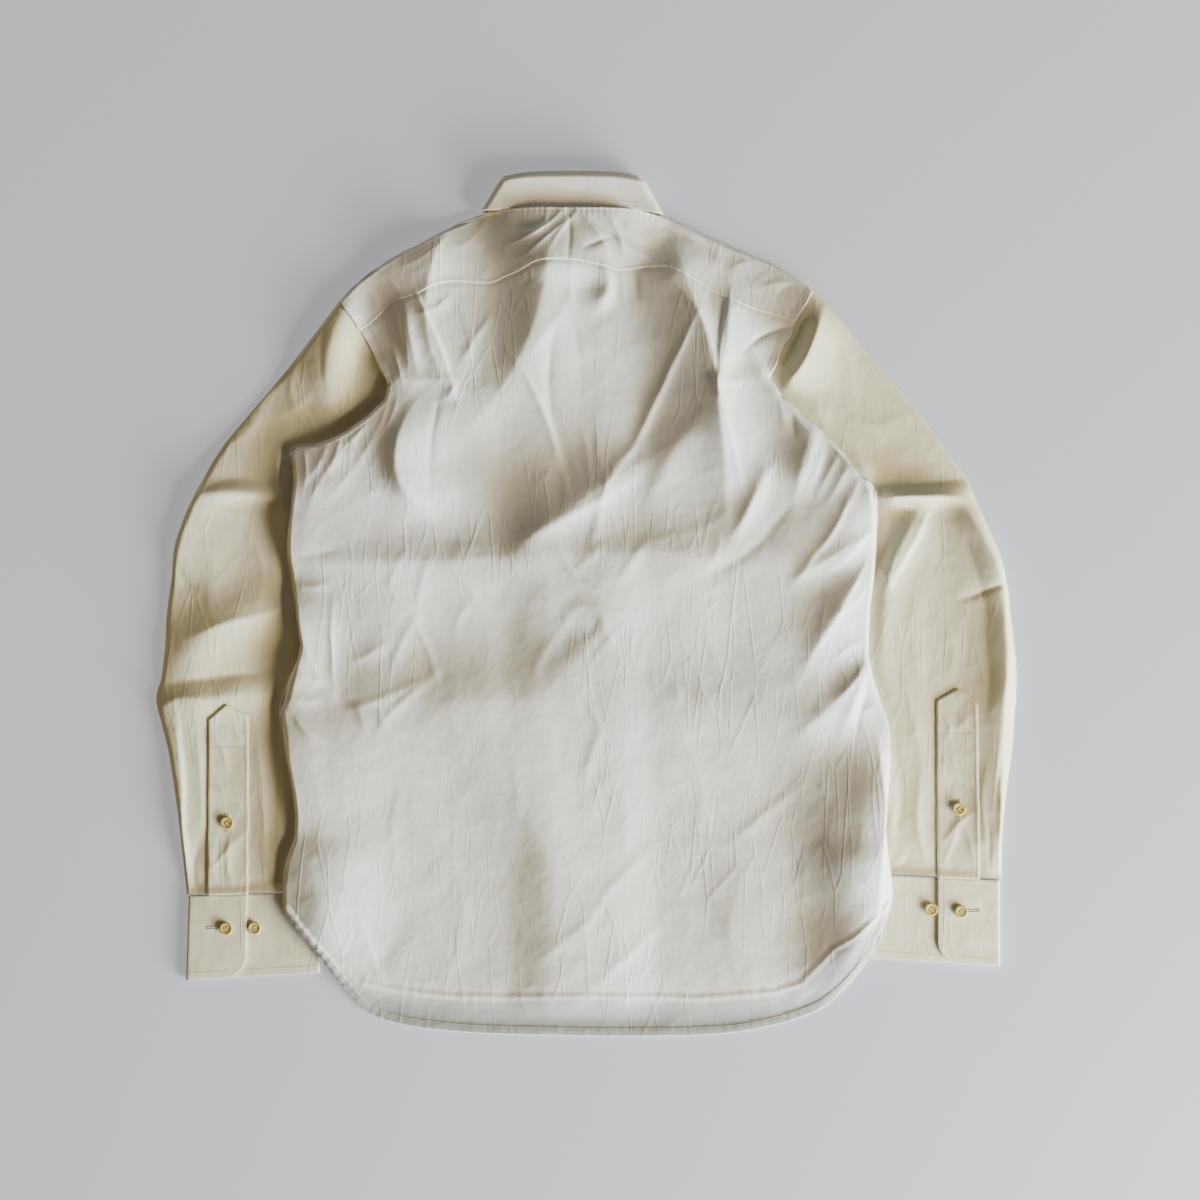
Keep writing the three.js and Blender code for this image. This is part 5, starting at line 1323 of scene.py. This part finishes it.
def build_shirt():
    back = dressed(make_back(), BODY_COTTON, "cotton", "back_panel")
    sheets = {"back": back}
    for side in SIDES:
        sheets["yoke_" + side] = dressed(make_yoke(side), BODY_COTTON, "cotton", "yoke_" + side)
        sheets["front_" + side] = dressed(make_front(side), BODY_COTTON, "cotton", "front_" + side)
        sheets["sleeve_" + side] = dressed(make_sleeve(side), SHADED_SLEEVE_COTTON, "cotton", "sleeve_" + side)
        sheets["cuff_" + side] = dressed(make_cuff(side), SHADED_CUFF_COTTON, "cotton", "cuff_" + side)
        name = "sleeve_placket_" + side
        sheets[name] = dressed(make_sleeve_placket(side), SHADED_SLEEVE_COTTON, "cotton", name)
    sheets["placket"] = dressed(make_placket(), BODY_COTTON, "cotton", "front_placket")
    leaf, leaf_grid = make_collar_leaf()
    sheets["collar_leaf"] = dressed(leaf, LIT_COLLAR_COTTON, "cotton", "collar_leaf")
    sheets["collar_stand"] = dressed(make_collar_stand(), LIT_COLLAR_COTTON, "cotton", "collar_stand")

    for i in range(FRONT_BUTTONS):
        y = FRONT_BUTTON_TOP_Y - FRONT_BUTTON_PITCH * i
        x = float(centre_x(y))
        z = float(front_base(x, y)) - 0.15
        button = make_button(f"pearl_front_button_{i + 1}", x, y, z, False, 20 + 31 * i)
        dressed(button, BUTTON_PEARL, "button", f"front_button_{i + 1}")
    collar_button = make_button("pearl_collar_button", *COLLAR_BUTTON, BUTTON_THICKNESS + 0.1, False, 10)
    dressed(collar_button, BUTTON_PEARL, "button", "collar_button")
    for side in SIDES:
        for name, turn, place in zip((f"cuff_button_{side}_1", f"cuff_button_{side}_2", f"sleeve_button_{side}"),
                                     (15, 65, 35), arm_buttons(side)):
            dressed(make_button("pearl_" + name, *place, True, turn), BUTTON_PEARL, "button", name)
    return sheets, leaf_grid


def sew(leaf_grid):
    tree = stitch_tree(THREAD)
    lines = [laid(inset_line(BACK_HEM[::-1], HEM_WIDTH - 0.7, 360), back_surface)]
    lines.append(laid(inset_line(YOKE_SEAM, -1.8, 300, 0.01, 0.99), yoke_surface))
    lines.append(laid(inset_line(CENTRE_LINE, 1.6, 40, 0.03, 0.94), yoke_surface))
    for side, inset in (("left", -6.5), ("right", 6.5)):
        for first, last, surface in ((0.06, 0.3, yoke_surface), (0.42, 0.95, back_surface)):
            lines.append(laid(inset_line(ARMHOLE[side][:4], inset, 70, first, last), surface))
    leaf_top = (COLLAR_PLY - SOFT_EDGE) / 2 + 0.1
    columns = leaf_grid.shape[1]
    row = leaf_grid[LEAF_STITCH_ROW]
    middle = slice(columns // 2 - LEAF_STITCH_REACH, columns // 2 + LEAF_STITCH_REACH + 1)
    lines.append(row[middle] + np.array([0, 0, leaf_top]))
    holes = []
    for side in SIDES:
        p, c = placket_outline(side, 1.5), CUFF[side]
        on_placket, on_cuff = partial(sleeve_placket_top, side), partial(cuff_top, side)
        edge = [p["left"][1], p["left"][0], *p["top"][1:2], p["right"][0], p["right"][1]]
        lines.append(laid(dense(edge, 330), on_placket))
        bar = SLEEVE_PLACKET[side]["bar"]
        (lx, _), (rx, _) = p["left"][0], p["right"][0]
        lines.append(laid(dense([(lx, bar), (rx, bar)], 24), on_placket))
        sign = -1 if side == "left" else 1
        outer_x, inner_x = c["top_out"][0] - sign * 3, c["top_in"][0] + sign * 3
        span = np.linspace(outer_x, inner_x, 90)
        top_y = np.interp(np.abs(span), sorted([abs(c["top_out"][0]), abs(c["top_in"][0])]),
                          [c["top_in"][1], c["top_out"][1]])
        low_y = np.interp(np.abs(span), sorted([abs(c["bottom_out"][0]), abs(c["bottom_in"][0])]),
                          [c["bottom_in"][1], c["bottom_out"][1]])
        lines.append(laid(np.column_stack([span, top_y - 1.6]), on_cuff))
        short = np.abs(np.abs(span) - abs(c["end"])) > 17
        beyond = np.abs(span) > abs(c["end"])
        lines.append(laid(np.column_stack([span, low_y + 6])[short & beyond], on_cuff))
        lines.append(laid(np.column_stack([span, low_y + 6])[~beyond], on_cuff))
        end_x = c["end"] + sign * 5.5
        lap = [(end_x, c["top_in"][1] - 8), (end_x - sign * 0.6, c["bottom_in"][1] + 24)]
        lines.append(laid(dense(lap, 40), on_cuff))
        x, y = c["buttons"][0]
        for dy in (0.9, -0.9):
            holes.append(laid(dense([(x + sign * 7, y + dy), (x + sign * 17, y + dy)], 30), on_cuff, 0.18))
        x, y = SLEEVE_PLACKET[side]["button"]
        for dx in (1.2, -0.6):
            holes.append(laid(dense([(x + dx, y + 8), (x + dx, y - 9)], 30), on_placket, 0.15))
    dressed(stitches("seam_stitches", lines, tree, Pitch=STITCH_PITCH * MM), THREAD, "cotton")
    sizes = {"Pitch": 0.0006, "Stitch length": 0.0016, "Turn": math.pi / 2}
    dressed(stitches("buttonhole_stitches", holes, tree, **sizes), THREAD, "cotton")
    threads = []
    for side in SIDES:
        for x, y, z in arm_buttons(side):
            top = z + BUTTON_THICKNESS * 0.66
            for a, b in ((-1, -1), (-1, 1)):
                threads.append([(x + 1.3 * a, y + 1.3 * b, top), (x - 1.3 * a, y - 1.3 * b, top + 0.12)])
    sizes = {"Pitch": 0.0018, "Stitch length": 0.0042, "Thread radius": 0.0004}
    dressed(stitches("button_threads", threads, tree, **sizes), THREAD, "cotton")


def build_stage():
    half = FLOOR_HALF
    corners = [(-half, -half, 0), (half, -half, 0), (half, half, 0), (-half, half, 0)]
    floor = add_mesh("floor", corners, [(0, 1, 2, 3)])
    floor.data.materials.append(FLOOR_PAPER)
    turns = np.linspace(0, 2 * math.pi, 49)[:-1]
    climb = np.linspace(0, math.pi / 2, 9)[:-1]
    r = BACKDROP_RADIUS
    points = [(r * math.cos(c) * math.cos(t), r * math.cos(c) * math.sin(t), r * math.sin(c) - 5)
              for c in climb for t in turns]
    dome = add_mesh("backdrop", points, quads(len(climb), len(turns), closed=True).tolist())
    dome.data.materials.append(BACKDROP)
    dome.visible_diffuse = dome.visible_glossy = dome.visible_shadow = False


def add_light(name, direction, distance, size, power, colour, reach=None):
    light = bpy.data.lights.new(name, "AREA")
    light.shape, light.size, light.size_y = "RECTANGLE", size, reach or size
    light.energy, light.color = power, colour
    lamp = linked(name, light)
    way = Vector(direction).normalized()
    lamp.location = way * distance
    lamp.rotation_euler = (-way).to_track_quat("-Z", "Y").to_euler()


def light_scene():
    add_light("lamp_key", (0.82, -0.47, 0.36), 3.0, 1.6, 205, (1.0, 0.89, 0.66), 0.9)
    add_light("window_key", (0.74, -0.67, 0.16), 3.0, 2.2, 480, (0.56, 0.77, 1.05), 0.6)
    add_light("sky_fill", (-0.05, 0.92, 0.38), 3.0, 2.4, 13, (0.40, 0.66, 1.0), 1.0)
    add_light("warm_wall", (-0.9, 0.25, 0.35), 1.6, 0.8, 2.5, (1.0, 0.66, 0.25))
    world = bpy.data.worlds.new("studio")
    bpy.context.scene.world = world
    world.use_nodes = True
    background = world.node_tree.nodes["Background"]
    background.inputs["Color"].default_value = (1.0, 0.86, 0.62, 1)
    background.inputs["Strength"].default_value = 0.07


def add_camera():
    camera = bpy.data.cameras.new("camera")
    camera.lens, camera.sensor_width = 50, 36
    eye = linked("camera", camera)
    eye.location = EYE
    bpy.context.scene.camera = eye


build_stage()
sheets, leaf_grid = build_shirt()
sew(leaf_grid)
light_scene()
add_camera()
